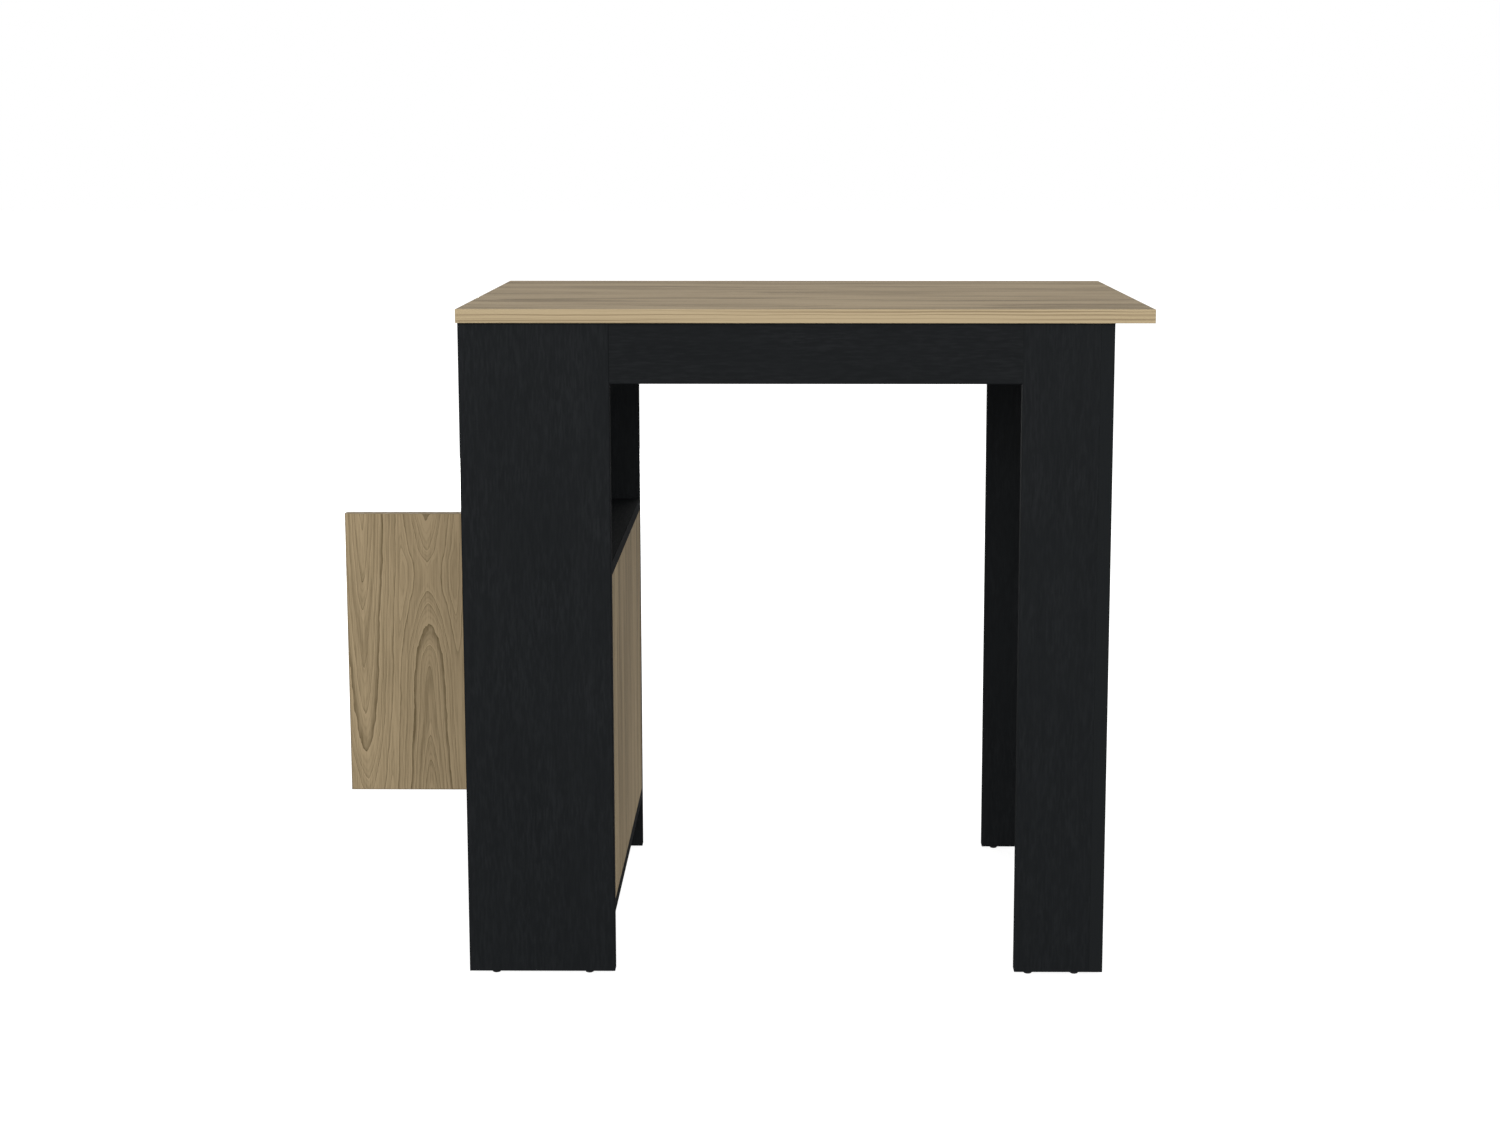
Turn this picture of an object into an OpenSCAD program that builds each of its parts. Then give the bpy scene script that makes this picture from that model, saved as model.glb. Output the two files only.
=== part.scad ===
// Kitchen island: a light oak worktop on a black tower at the left and two L-shaped legs at the right.
// The tower holds an open niche, an open side bay and a cabinet with one inset door.
// The axes are +X to the right along the worktop, +Y to the back and +Z up.
// The origin lies on the floor, in the middle of the footprint with the door standing open.

/* [Worktop] */
// Width of the worktop, left to right
top_w = 900; // [800:5:1300]
// Depth of the worktop, front to back
top_d = 580; // [560:5:760]
// Thickness of the worktop
top_t = 18; // [16:1:30]
// How far the worktop stands out past the right legs
right_overhang = 51; // [10:1:150]
// How far the worktop stands out past the tower on the left
left_overhang = 2; // [0:0.5:20]
// How far the front and back panels stand back from the worktop's edge
face_setback = 5; // [0:0.5:20]

/* [Boards and rails] */
// Thickness of every board under the worktop
board_t = 18; // [16:1:22]
// Thickness of the bands glued on the boards' edges
band_t = 1; // [0.5:0.1:2]
// Seam between the end of a band and the next band or board
band_seam = 0.05; // [0.02:0.01:0.2]
// Height of the tower panels and the leg boards
panel_h = 870; // [780:5:1000]
// Height of the rails under the worktop
rail_h = 79; // [70:1:150]

/* [Tower] */
// Width of the tower, left to right
tower_w = 195; // [185:1:300]
// Height of the cabinet floor's underside above the foot of the panels
floor_rise = 77; // [30:1:150]
// Clear height of the cabinet, between its floor and the tower shelf
cabinet_h = 441; // [380:1:560]
// Clear depth of the cabinet bay behind the door, along Y
cabinet_bay_d = 258; // [200:1:300]
// Height of the loose shelves' underside above the cabinet floor
loose_shelf_rise = 211; // [120:1:300]
// Gap between a loose shelf and the boards at its sides and back
loose_shelf_gap = 1.5; // [1.2:0.1:3]
// Distance from the tower's open side to the side bay shelf
side_shelf_setback = 3; // [0:0.5:40]
// Distance from the door's inner face to the cabinet shelf
cabinet_shelf_setback = 12; // [2:1:60]

/* [Legs] */
// Width of a leg's front, the face board and the edge of the side board together
leg_w = 118; // [90:1:200]
// Depth of a leg's side board, along Y
leg_d = 118; // [90:1:200]

/* [Door] */
// Gap at the hinged and the free edge of the door
door_side_gap = 2.5; // [2.5:0.1:4]
// Gap above and below the door
door_end_gap = 2; // [1.5:0.1:4]
// Angle at which the door stands open, 0 is closed
door_open_angle = 90; // [0:5:95]

/* [Hinges] */
// Height of a hinge
hinge_h = 50; // [40:1:80]
// Distance from the door's top or bottom to the middle of a hinge
hinge_inset = 75; // [50:1:120]
// Thickness of the hinge leaves
leaf_t = 1.2; // [0.8:0.05:1.2]
// How far a leaf reaches across the board, from the tower's open side
leaf_reach = 16; // [14.5:0.5:16]
// Radius of the knuckles
knuckle_r = 2.1; // [1.8:0.05:2.2]
// How far the pin's axis lies outside the door's outer face
knuckle_proud = 2.4; // [2.3:0.1:4]
// Gap between neighbouring knuckles
knuckle_gap = 0.3; // [0.2:0.05:0.6]
// Radius of the hinge pin
pin_r = 1.1; // [0.8:0.05:1.2]
// Running clearance of the pin in the knuckles, on the radius
pin_play = 0.05; // [0.02:0.01:0.1]
// Distance from the middle of a hinge to each of its screws
hinge_screw_offset = 16; // [12:0.5:19]
// Distance from the tower's open side to the hinge screws
hinge_screw_inset = 10; // [8:0.5:11]
// Length of the wood screws behind a leaf or a flange
wood_screw_l = 12; // [8:0.5:14]
// Radius of the wood screws' shank
wood_screw_r = 1.5; // [1.2:0.1:1.8]
// Radius of the wood screws' head
wood_screw_head_r = 2.9; // [2.5:0.1:3.2]

/* [Push latch] */
// Height of the latch housing, under the tower shelf
latch_h = 16; // [14:0.5:20]
// Length of the latch housing, along X
latch_l = 58; // [50:1:80]
// Gap between the housing and the buffer when the plunger is pressed home
latch_nose_gap = 0.7; // [0.3:0.1:5]
// Distance from the door's free edge to the axis of the plunger
latch_inset = 25; // [22:1:60]
// Gap between the closed door and the plunger's buffer
latch_clear = 0.3; // [0.2:0.05:1]
// Travel of the plunger when it is pressed
latch_travel = 4; // [2:0.5:4]
// Radius of the plunger's rod
plunger_r = 3.5; // [3:0.1:3.8]
// Length of the plunger's rod
plunger_l = 38; // [30:1:42]
// Clearance of the plunger in the housing, on the radius
plunger_play = 0.3; // [0.2:0.05:0.5]
// Radius of the rubber buffer on the plunger's tip
buffer_r = 4; // [3:0.1:4.5]
// Thickness of the rubber buffer
buffer_t = 3; // [2:0.1:4]
// Thickness of the housing's screw flange
flange_t = 3; // [2:0.1:4]

/* [Fasteners] */
// Distance from a board's end to the middle of a cam disc
cam_dist = 34; // [24:1:34]
// Radius of a cam disc's pocket
cam_r = 7.5; // [6.5:0.1:8]
// Depth of a cam disc's pocket below the axis of its bolt
cam_below = 4; // [3.7:0.1:6]
// Width of a cam disc's cross recess
cam_recess_w = 1.6; // [1:0.1:2.5]
// Depth of a cam disc's cross recess
cam_recess_h = 2.5; // [1.5:0.1:4]
// Clearance of a cam bolt in its bore, on the radius
cam_bore_play = 0.5; // [0.3:0.1:1]
// Radius of a cam bolt's thread
cam_thread_r = 2.9; // [2.4:0.1:3]
// Length of a cam bolt's thread
cam_thread_l = 11; // [8:0.5:12]
// Radius of a dowel
dowel_r = 4; // [3:0.5:4]
// Length of a dowel in the board that it enters face on
dowel_face_l = 11; // [8:0.5:12]
// Length of a dowel in the board that it enters end on
dowel_edge_l = 19; // [14:1:24]
// Length of a confirmat screw, without the board under its head
confirmat_l = 32; // [25:1:40]
// Radius of a confirmat screw
confirmat_r = 2.5; // [2:0.1:3]
// Height of a confirmat screw's sunk head
confirmat_head_h = 4; // [3:0.5:6]
// Radius of a shelf pin
shelf_pin_r = 2.5; // [2:0.1:3]
// Length of a shelf pin inside the board
shelf_pin_in = 7; // [5:0.5:7]
// Length of a shelf pin under the shelf
shelf_pin_out = 9; // [6:0.5:12]
// Clearance of fasteners in their holes, on the radius and at the ends
fit_play = 0.1; // [0.05:0.01:0.2]

/* [Glides] */
// Height of the glides under the panels
glide_h = 4; // [3:0.5:8]
// Radius of a glide
glide_r = 6; // [5:0.5:8]
// Radius of the rounding round a glide's flat foot
glide_round = 2.25; // [1.5:0.25:2.5]
// Distance from the tower's sides to its glides
tower_glide_inset = 35; // [20:1:60]
// Distance from the ends of a leg board to its glides
leg_glide_inset = 19; // [14:1:30]
// Length of a glide's nail in the board
glide_nail_l = 15; // [10:1:20]
// Radius of a glide's nail
glide_nail_r = 0.8; // [0.6:0.1:1.2]

/* [Hidden] */
$fn = 48;

// Colours
oak = [0.70, 0.61, 0.47];
oak_edge = [0.74, 0.66, 0.52];
black = [0.13, 0.135, 0.14];
black_edge = [0.10, 0.105, 0.11];
steel = [0.62, 0.62, 0.60];
zinc = [0.50, 0.50, 0.49];
beech = [0.80, 0.68, 0.50];
grey_plastic = [0.55, 0.56, 0.57];
dark_plastic = [0.07, 0.07, 0.07];

// Planes that several boards share
tower_x0 = left_overhang;
tower_x1 = tower_x0 + tower_w;
leg_x1 = top_w - right_overhang;
leg_x0 = leg_x1 - leg_w;
leg_side_x0 = leg_x1 - board_t;
front_y0 = face_setback;
front_y1 = front_y0 + board_t;
back_y1 = top_d - face_setback;
back_y0 = back_y1 - board_t;
front_leg_y1 = front_y0 + leg_d;
back_leg_y0 = back_y1 - leg_d;
foot_z = glide_h;
top_z = foot_z + panel_h;
rail_z0 = top_z - rail_h;
floor_z0 = foot_z + floor_rise;
floor_z1 = floor_z0 + board_t;
shelf_z0 = floor_z1 + cabinet_h;
shelf_z1 = shelf_z0 + board_t;
side_panel_x0 = tower_x1 - board_t;
divider_y1 = back_y0 - cabinet_bay_d;
divider_y0 = divider_y1 - board_t;
loose_z0 = floor_z1 + loose_shelf_rise;

// Middles of boards
front_mid = (front_y0 + front_y1) / 2;
back_mid = (back_y0 + back_y1) / 2;
divider_mid = (divider_y0 + divider_y1) / 2;
side_panel_mid = (side_panel_x0 + tower_x1) / 2;
leg_side_mid = (leg_side_x0 + leg_x1) / 2;
leg_face_mid = (leg_x0 + leg_side_x0) / 2;
rail_mid = (rail_z0 + top_z) / 2;
shelf_mid = (shelf_z0 + shelf_z1) / 2;
floor_mid = (floor_z0 + floor_z1) / 2;

// Closed door, and the axis that it turns about
door_x1 = tower_x0 + board_t;
door_y1 = back_y0 - door_side_gap;
door_y0 = divider_y1 + door_side_gap;
door_z0 = floor_z1 + door_end_gap;
door_z1 = shelf_z0 - door_end_gap;
hinge_x = tower_x0 - knuckle_proud;
hinge_y = back_y0 - door_side_gap / 2;
hinge_zs = [door_z0 + hinge_inset, door_z1 - hinge_inset];
hinge_screw_x = tower_x0 + hinge_screw_inset;

// Left end of the open door, which sets the middle of the footprint
door_corners = [for (x = [tower_x0, door_x1], y = [door_y0, door_y1]) [x - hinge_x, y - hinge_y]];
door_left = hinge_x + min([for (c = door_corners)
    c[0] * cos(door_open_angle) + c[1] * sin(door_open_angle)]);
centre_x = (min(0, door_left) + top_w) / 2;
centre_y = top_d / 2;

// Boards as [lowest corner, highest corner]
WORKTOP = [[0, 0, top_z], [top_w, top_d, top_z + top_t]];
TOWER_FRONT = [[tower_x0, front_y0, foot_z], [tower_x1, front_y1, top_z]];
TOWER_BACK = [[tower_x0, back_y0, foot_z], [tower_x1, back_y1, top_z]];
TOWER_SHELF = [[tower_x0, front_y1, shelf_z0], [tower_x1, back_y0, shelf_z1]];
CABINET_FLOOR = [[tower_x0, front_y1, floor_z0], [tower_x1, back_y0, floor_z1]];
SIDE_PANEL = [[side_panel_x0, front_y1, floor_z1], [tower_x1, back_y0, shelf_z0]];
DIVIDER = [[tower_x0, divider_y0, floor_z1], [side_panel_x0, divider_y1, shelf_z0]];
SIDE_SHELF = [[tower_x0 + side_shelf_setback, front_y1 + loose_shelf_gap, loose_z0],
    [side_panel_x0 - loose_shelf_gap, divider_y0 - loose_shelf_gap, loose_z0 + board_t]];
CABINET_SHELF = [[door_x1 + cabinet_shelf_setback, divider_y1 + loose_shelf_gap, loose_z0],
    [side_panel_x0 - loose_shelf_gap, back_y0 - loose_shelf_gap, loose_z0 + board_t]];
FRONT_RAIL = [[tower_x1, front_y0, rail_z0], [leg_x0, front_y1, top_z]];
BACK_RAIL = [[tower_x1, back_y0, rail_z0], [leg_x0, back_y1, top_z]];
END_RAIL = [[leg_side_x0, front_leg_y1, rail_z0], [leg_x1, back_leg_y0, top_z]];
FRONT_LEG_FACE = [[leg_x0, front_y0, foot_z], [leg_side_x0, front_y1, top_z]];
BACK_LEG_FACE = [[leg_x0, back_y0, foot_z], [leg_side_x0, back_y1, top_z]];
FRONT_LEG_SIDE = [[leg_side_x0, front_y0, foot_z], [leg_x1, front_leg_y1, top_z]];
BACK_LEG_SIDE = [[leg_side_x0, back_leg_y0, foot_z], [leg_x1, back_y1, top_z]];
DOOR = [[tower_x0, door_y0, door_z0], [door_x1, door_y1, door_z1]];

// Directions, and the ways out of the edges that carry a band on each board, the full-length bands first
X = [1, 0, 0];
Y = [0, 1, 0];
Z = [0, 0, 1];
WORKTOP_EDGES = [-Y, Y, -X, X];
TOWER_PANEL_EDGES = [-X, X, -Z];
THROUGH_BOARD_EDGES = [-X, X];
OPEN_SIDE_EDGE = [-X];
RAIL_EDGE = [-Z];
LEG_FACE_EDGES = [-X, -Z];
LEG_SIDE_EDGES = [-Y, Y, -Z];
DOOR_EDGES = [-Y, Y, -Z, Z];

// Distances of fasteners from the ends of the boards that they join
board_cam_inset = 40;
board_dowel_inset = 74;
side_cam_inset = 100;
side_dowel_inset = 60;
divider_dowel_inset = 48;
rail_cam_inset = 140;
rail_dowel_offset = 24;
leg_cam_inset = 90;
shelf_pin_inset = 32;

// How far a cut runs past the face that it opens
cut = 1;

// The front and the back of the island mirror each other: inner face, middle plane and inward direction
SIDES = [[front_y1, front_mid, Y], [back_y0, back_mid, -Y]];
board_xs = [tower_x0 + board_cam_inset, tower_x1 - board_cam_inset];
board_dowel_xs = [tower_x0 + board_dowel_inset, tower_x1 - board_dowel_inset];
side_cam_zs = [floor_z1 + side_cam_inset, shelf_z0 - side_cam_inset];
side_ys = [front_y1 + side_dowel_inset, divider_mid, back_y0 - side_dowel_inset];
divider_xs = [tower_x0 + divider_dowel_inset, side_panel_x0 - divider_dowel_inset];
leg_cam_zs = [foot_z + leg_cam_inset, foot_z + panel_h / 2, top_z - leg_cam_inset];
leg_dowel_zs = [(leg_cam_zs[0] + leg_cam_zs[1]) / 2, (leg_cam_zs[1] + leg_cam_zs[2]) / 2];
rail_dowel_zs = [rail_mid - rail_dowel_offset, rail_mid + rail_dowel_offset];
rail_top_xs = [tower_x1 + rail_cam_inset, leg_x0 - rail_cam_inset];

// Cam fittings as [point on the joint, direction into the board with the disc, face that the disc enters]
CAMS = concat(
    [for (s = SIDES, z = [shelf_mid, floor_mid], x = board_xs) [[x, s[0], z], s[2], -Z]],
    [for (s = SIDES, z = side_cam_zs) [[side_panel_mid, s[0], z], s[2], -X]],
    [for (s = SIDES) [[tower_x1, s[1], rail_mid], X, s[2]]],
    [for (s = SIDES) [[leg_x0, s[1], rail_mid], -X, s[2]]],
    [for (s = SIDES, z = leg_cam_zs) [[leg_side_x0, s[1], z], -X, s[2]]],
    [for (s = [[front_leg_y1, Y], [back_leg_y0, -Y]]) [[leg_side_mid, s[0], rail_mid], s[1], -X]],
    [for (s = SIDES, x = concat(board_xs, rail_top_xs, [leg_face_mid])) [[x, s[1], top_z], -Z, s[2]]],
    [for (y = [(front_y1 + front_leg_y1) / 2, centre_y, (back_y0 + back_leg_y0) / 2])
        [[leg_side_mid, y, top_z], -Z, -X]]);

// Dowels as [point on the joint, direction into the board that they enter end on]
DOWELS = concat(
    [for (s = SIDES, z = [shelf_mid, floor_mid], x = board_dowel_xs) [[x, s[0], z], s[2]]],
    [for (s = SIDES, z = rail_dowel_zs) [[tower_x1, s[1], z], X]],
    [for (s = SIDES, z = rail_dowel_zs) [[leg_x0, s[1], z], -X]],
    [for (s = SIDES, z = leg_dowel_zs) [[leg_side_x0, s[1], z], -X]],
    [for (s = [[front_leg_y1, Y], [back_leg_y0, -Y]], z = rail_dowel_zs) [[leg_side_mid, s[0], z], s[1]]],
    [for (x = divider_xs) [[x, divider_mid, shelf_z0], -Z]],
    [for (y = side_ys) [[side_panel_mid, y, shelf_z0], -Z]]);

// Confirmat screws as [point on the joint, direction into the board that they enter end on]
CONFIRMATS = concat(
    [for (x = divider_xs) [[x, divider_mid, floor_z1], Z]],
    [for (y = side_ys) [[side_panel_mid, y, floor_z1], Z]]);

// Shelf pins as [point on the board's face, direction out of the board]
shelf_pin_z = loose_z0 - shelf_pin_r - fit_play;
SHELF_PINS = [for (f = [[front_y1, Y, SIDE_SHELF], [divider_y0, -Y, SIDE_SHELF],
        [divider_y1, Y, CABINET_SHELF], [back_y0, -Y, CABINET_SHELF]],
    x = [f[2][0][0] + shelf_pin_inset, f[2][1][0] - shelf_pin_inset]) [[x, f[0], shelf_pin_z], f[1]]];

// Glides as points on the foot of a board
GLIDES = concat(
    [for (s = SIDES, x = [tower_x0 + tower_glide_inset, tower_x1 - tower_glide_inset]) [x, s[1], foot_z]],
    [for (s = SIDES, x = [leg_x0 + leg_glide_inset, leg_side_x0 - leg_glide_inset]) [x, s[1], foot_z]],
    [for (y = [front_leg_y1 - leg_glide_inset, back_leg_y0 + leg_glide_inset]) [leg_side_mid, y, foot_z]]);

// Wood screws as [point on the board's face, direction into the board]
HINGE_FRAME_SCREWS = [for (z = hinge_zs, s = [-1, 1])
    [[hinge_screw_x, back_y0, z + s * hinge_screw_offset], Y]];
HINGE_DOOR_SCREWS = [for (z = hinge_zs, s = [-1, 1])
    [[hinge_screw_x, door_y1, z + s * hinge_screw_offset], -Y]];

// Places of the push latch
latch_y = door_y0 + latch_inset;
latch_z = shelf_z0 - latch_h / 2;
plunger_x0 = door_x1 + latch_clear + buffer_t;
latch_x0 = plunger_x0 + latch_travel + latch_nose_gap;
latch_rim_t = 3;
latch_bore_r = 5.2;
latch_end_t = 4;
latch_flange_w = 34;
latch_flange_l = 16;
latch_screw_offset = 12.5;
latch_flange_x = latch_x0 + latch_l * 0.4;
plunger_collar_t = 3;
spring_pocket_l = 18;
spring_pocket_r = 2.7;
LATCH_SCREWS = [for (s = [-1, 1]) [[latch_flange_x, latch_y + s * latch_screw_offset, shelf_z0], Z]];

// Coil spring of the latch: mean radius, wire radius, and counts of turns, steps and wire sides
spring_mean_r = 2.1;
spring_wire_r = 0.3;
spring_turns = 10;
spring_steps = 10;
spring_sides = 6;

// True where a point lies on a board
function on_board(b, p) = min([for (i = [0:2]) min(p[i] - b[0][i], b[1][i] - p[i])]) > -0.01;

// True where a board lies on the far side of a joint, the way that its direction points
function ahead(b, p, d) = ((b[0] + b[1]) / 2 - p) * d > 0;

// How far the bands on one side of a board stand out from it
function banded(edges, way) = band_t * len([for (e = edges) if (e == way) e]);

// A board's box without its bands
function core(b, edges) = [b[0] + [banded(edges, -X), banded(edges, -Y), banded(edges, -Z)],
    b[1] - [banded(edges, X), banded(edges, Y), banded(edges, Z)]];

// Seam at the ends of band k: none across the board's thickness, nor at a board's first band
function seam(b, i, k) = k > 0 && b[1][i] - b[0][i] > max(board_t, top_t) + fit_play ? band_seam : 0;

// The box of a board's band k, which lies between the bands before it
function strip(b, edges, k) = let (way = edges[k], c = core(b, [for (i = [0:1:k - 1]) edges[i]]))
    [[for (i = [0:2]) way[i] > 0 ? c[1][i] - band_t : c[0][i] + (way[i] < 0 ? 0 : seam(b, i, k))],
        [for (i = [0:2]) way[i] < 0 ? c[0][i] + band_t : c[1][i] - (way[i] > 0 ? 0 : seam(b, i, k))]];

// Moves the model so that its footprint lies about the origin
module placed() {
    translate([-centre_x, -centre_y, 0]) children();
}

// Moves what is drawn on a closed door to the open door
module hung() {
    placed() translate([hinge_x, hinge_y, 0]) rotate([0, 0, -door_open_angle])
        translate([-hinge_x, -hinge_y, 0]) children();
}

// Moves +Z to a direction along one axis
module aimed(p, d) {
    translate(p) rotate([0, acos(d[2]), atan2(d[1], d[0])]) children();
}

// Moves +X to the direction of a joint and +Z to the face that is drilled
module set_in(p, d, n) {
    m = cross(n, d);
    multmatrix([[d[0], m[0], n[0], p[0]], [d[1], m[1], n[1], p[1]], [d[2], m[2], n[2], p[2]]]) children();
}

// A round rod along X
module rod_x(x0, x1, r) {
    translate([x0, 0, 0]) rotate([0, 90, 0]) cylinder(r = r, h = x1 - x0);
}

// A plain block between two corners
module block(b) {
    translate(b[0]) cube(b[1] - b[0]);
}

module cam_disc_pocket() {
    translate([cam_dist, 0, -cam_below]) cylinder(r = cam_r, h = cam_below + board_t / 2 + cut);
    rod_x(-cut, cam_dist, cam_thread_r + cam_bore_play);
}

// A disc with a bore for the bolt's head and a cross recess, just below the board's face
module cam_disc() {
    disc_top = board_t / 2 - 3 * fit_play;
    difference() {
        translate([cam_dist, 0, -cam_below]) cylinder(r = cam_r - fit_play, h = cam_below + disc_top);
        rod_x(0, cam_dist + cut, cam_thread_r + cam_bore_play);
        for (turn = [0, 90]) translate([cam_dist, 0, disc_top - cam_recess_h])
            rotate([0, 0, turn]) translate([-cam_r / 2, -cam_recess_w / 2, 0])
                cube([cam_r, cam_recess_w, cam_recess_h + cut]);
    }
}

module cam_bolt() {
    head_l = 3;
    rod_x(-cam_thread_l, 0, cam_thread_r);
    rod_x(0, cam_dist - 2 * head_l, cam_thread_r - 1);
    rod_x(cam_dist - 2 * head_l, cam_dist - head_l, cam_thread_r);
}

// A wood screw with a sunk head, or with a pan head under the latch's flange
module wood_screw(head_h, sunk) {
    cylinder(r = wood_screw_r, h = wood_screw_l);
    if (sunk) translate([0, 0, -head_h]) cylinder(r1 = wood_screw_head_r, r2 = wood_screw_r, h = head_h);
    else {
        translate([0, 0, -flange_t]) cylinder(r = wood_screw_r, h = flange_t);
        translate([0, 0, -flange_t - head_h]) cylinder(r = wood_screw_head_r, h = head_h);
    }
}

module confirmat() {
    translate([0, 0, -board_t]) {
        cylinder(r = confirmat_r, h = board_t + confirmat_l);
        cylinder(r1 = 2 * confirmat_r, r2 = confirmat_r, h = confirmat_head_h);
    }
}

// Every hole that the fasteners need in one board
module drillings(b) {
    for (c = CAMS) if (on_board(b, c[0])) set_in(c[0], c[1], c[2]) {
        if (ahead(b, c[0], c[1])) cam_disc_pocket();
        else rod_x(-cam_thread_l - fit_play, cut, cam_thread_r + fit_play);
    }
    for (w = DOWELS) if (on_board(b, w[0])) aimed(w[0], w[1]) {
        if (ahead(b, w[0], w[1])) translate([0, 0, -cut])
            cylinder(r = dowel_r + fit_play, h = dowel_edge_l + cut + fit_play);
        else translate([0, 0, -dowel_face_l - fit_play])
            cylinder(r = dowel_r + fit_play, h = dowel_face_l + cut + fit_play);
    }
    for (w = CONFIRMATS) if (on_board(b, w[0])) aimed(w[0], w[1]) {
        if (ahead(b, w[0], w[1])) translate([0, 0, -cut])
            cylinder(r = confirmat_r + fit_play, h = confirmat_l + cut + fit_play);
        else translate([0, 0, -board_t]) {
            translate([0, 0, -cut]) cylinder(r = confirmat_r + fit_play, h = board_t + 2 * cut);
            translate([0, 0, -fit_play]) cylinder(r1 = 2 * (confirmat_r + fit_play),
                r2 = confirmat_r + fit_play, h = confirmat_head_h + 2 * fit_play);
        }
    }
    for (w = SHELF_PINS) if (on_board(b, w[0])) aimed(w[0], w[1])
        translate([0, 0, -shelf_pin_in - fit_play])
            cylinder(r = shelf_pin_r + fit_play, h = shelf_pin_in + cut + fit_play);
    for (g = GLIDES) if (on_board(b, g)) translate(g) translate([0, 0, -cut])
        cylinder(r = glide_nail_r + fit_play, h = glide_nail_l + cut + fit_play);
    for (w = concat(HINGE_FRAME_SCREWS, LATCH_SCREWS)) if (on_board(b, w[0])) screw_hole(w);
}

module screw_hole(w) {
    aimed(w[0], w[1]) translate([0, 0, -cut])
        cylinder(r = wood_screw_r + fit_play, h = wood_screw_l + cut + fit_play);
}

module board(b, edges) {
    difference() {
        block(core(b, edges));
        drillings(b);
    }
}

// Band k of a board, with the holes that go through it
module band(b, edges, k) {
    difference() {
        block(strip(b, edges, k));
        drillings(b);
    }
}

module all_bands(b, edges) {
    for (k = [0:len(edges) - 1]) band(b, edges, k);
}

module worktop() {
    color(oak) placed() board(WORKTOP, WORKTOP_EDGES);
}

module worktop_front_edge_band() {
    color(oak_edge) placed() band(WORKTOP, WORKTOP_EDGES, 0);
}

module worktop_back_edge_band() {
    color(oak_edge) placed() band(WORKTOP, WORKTOP_EDGES, 1);
}

module worktop_left_edge_band() {
    color(oak_edge) placed() band(WORKTOP, WORKTOP_EDGES, 2);
}

module worktop_right_edge_band() {
    color(oak_edge) placed() band(WORKTOP, WORKTOP_EDGES, 3);
}

module tower_front_panel() {
    color(black) placed() board(TOWER_FRONT, TOWER_PANEL_EDGES);
}

module tower_front_panel_edge_bands() {
    color(black_edge) placed() all_bands(TOWER_FRONT, TOWER_PANEL_EDGES);
}

module tower_back_panel() {
    color(black) placed() board(TOWER_BACK, TOWER_PANEL_EDGES);
}

module tower_back_panel_edge_bands() {
    color(black_edge) placed() all_bands(TOWER_BACK, TOWER_PANEL_EDGES);
}

module tower_shelf() {
    color(black) placed() board(TOWER_SHELF, THROUGH_BOARD_EDGES);
}

module tower_shelf_edge_bands() {
    color(black_edge) placed() all_bands(TOWER_SHELF, THROUGH_BOARD_EDGES);
}

module cabinet_floor() {
    color(black) placed() board(CABINET_FLOOR, THROUGH_BOARD_EDGES);
}

module cabinet_floor_edge_bands() {
    color(black_edge) placed() all_bands(CABINET_FLOOR, THROUGH_BOARD_EDGES);
}

// All four edges of this panel are hidden, so it has no band
module cabinet_inner_side_panel() {
    color(oak) placed() board(SIDE_PANEL, []);
}

module cabinet_divider() {
    color(black) placed() board(DIVIDER, OPEN_SIDE_EDGE);
}

module cabinet_divider_edge_band() {
    color(black_edge) placed() all_bands(DIVIDER, OPEN_SIDE_EDGE);
}

module side_bay_shelf() {
    color(black) placed() board(SIDE_SHELF, OPEN_SIDE_EDGE);
}

module side_bay_shelf_edge_band() {
    color(black_edge) placed() all_bands(SIDE_SHELF, OPEN_SIDE_EDGE);
}

module cabinet_shelf() {
    color(black) placed() board(CABINET_SHELF, OPEN_SIDE_EDGE);
}

module cabinet_shelf_edge_band() {
    color(black_edge) placed() all_bands(CABINET_SHELF, OPEN_SIDE_EDGE);
}

module shelf_pins() {
    collar_t = 1;
    color(steel) placed() for (w = SHELF_PINS) aimed(w[0], w[1]) {
        translate([0, 0, -shelf_pin_in]) cylinder(r = shelf_pin_r, h = shelf_pin_in + shelf_pin_out);
        cylinder(r = shelf_pin_r + 1.5, h = collar_t);
    }
}

module front_rail() {
    color(black) placed() board(FRONT_RAIL, RAIL_EDGE);
}

module back_rail() {
    color(black) placed() board(BACK_RAIL, RAIL_EDGE);
}

module end_rail() {
    color(black) placed() board(END_RAIL, RAIL_EDGE);
}

module rail_edge_bands() {
    color(black_edge) placed() for (b = [FRONT_RAIL, BACK_RAIL, END_RAIL]) all_bands(b, RAIL_EDGE);
}

module front_leg_face_board() {
    color(black) placed() board(FRONT_LEG_FACE, LEG_FACE_EDGES);
}

module front_leg_side_board() {
    color(black) placed() board(FRONT_LEG_SIDE, LEG_SIDE_EDGES);
}

module front_leg_edge_bands() {
    color(black_edge) placed() {
        all_bands(FRONT_LEG_FACE, LEG_FACE_EDGES);
        all_bands(FRONT_LEG_SIDE, LEG_SIDE_EDGES);
    }
}

module back_leg_face_board() {
    color(black) placed() board(BACK_LEG_FACE, LEG_FACE_EDGES);
}

module back_leg_side_board() {
    color(black) placed() board(BACK_LEG_SIDE, LEG_SIDE_EDGES);
}

module back_leg_edge_bands() {
    color(black_edge) placed() {
        all_bands(BACK_LEG_FACE, LEG_FACE_EDGES);
        all_bands(BACK_LEG_SIDE, LEG_SIDE_EDGES);
    }
}

module door_panel() {
    color(oak) hung() difference() {
        block(core(DOOR, DOOR_EDGES));
        for (w = HINGE_DOOR_SCREWS) screw_hole(w);
    }
}

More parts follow.
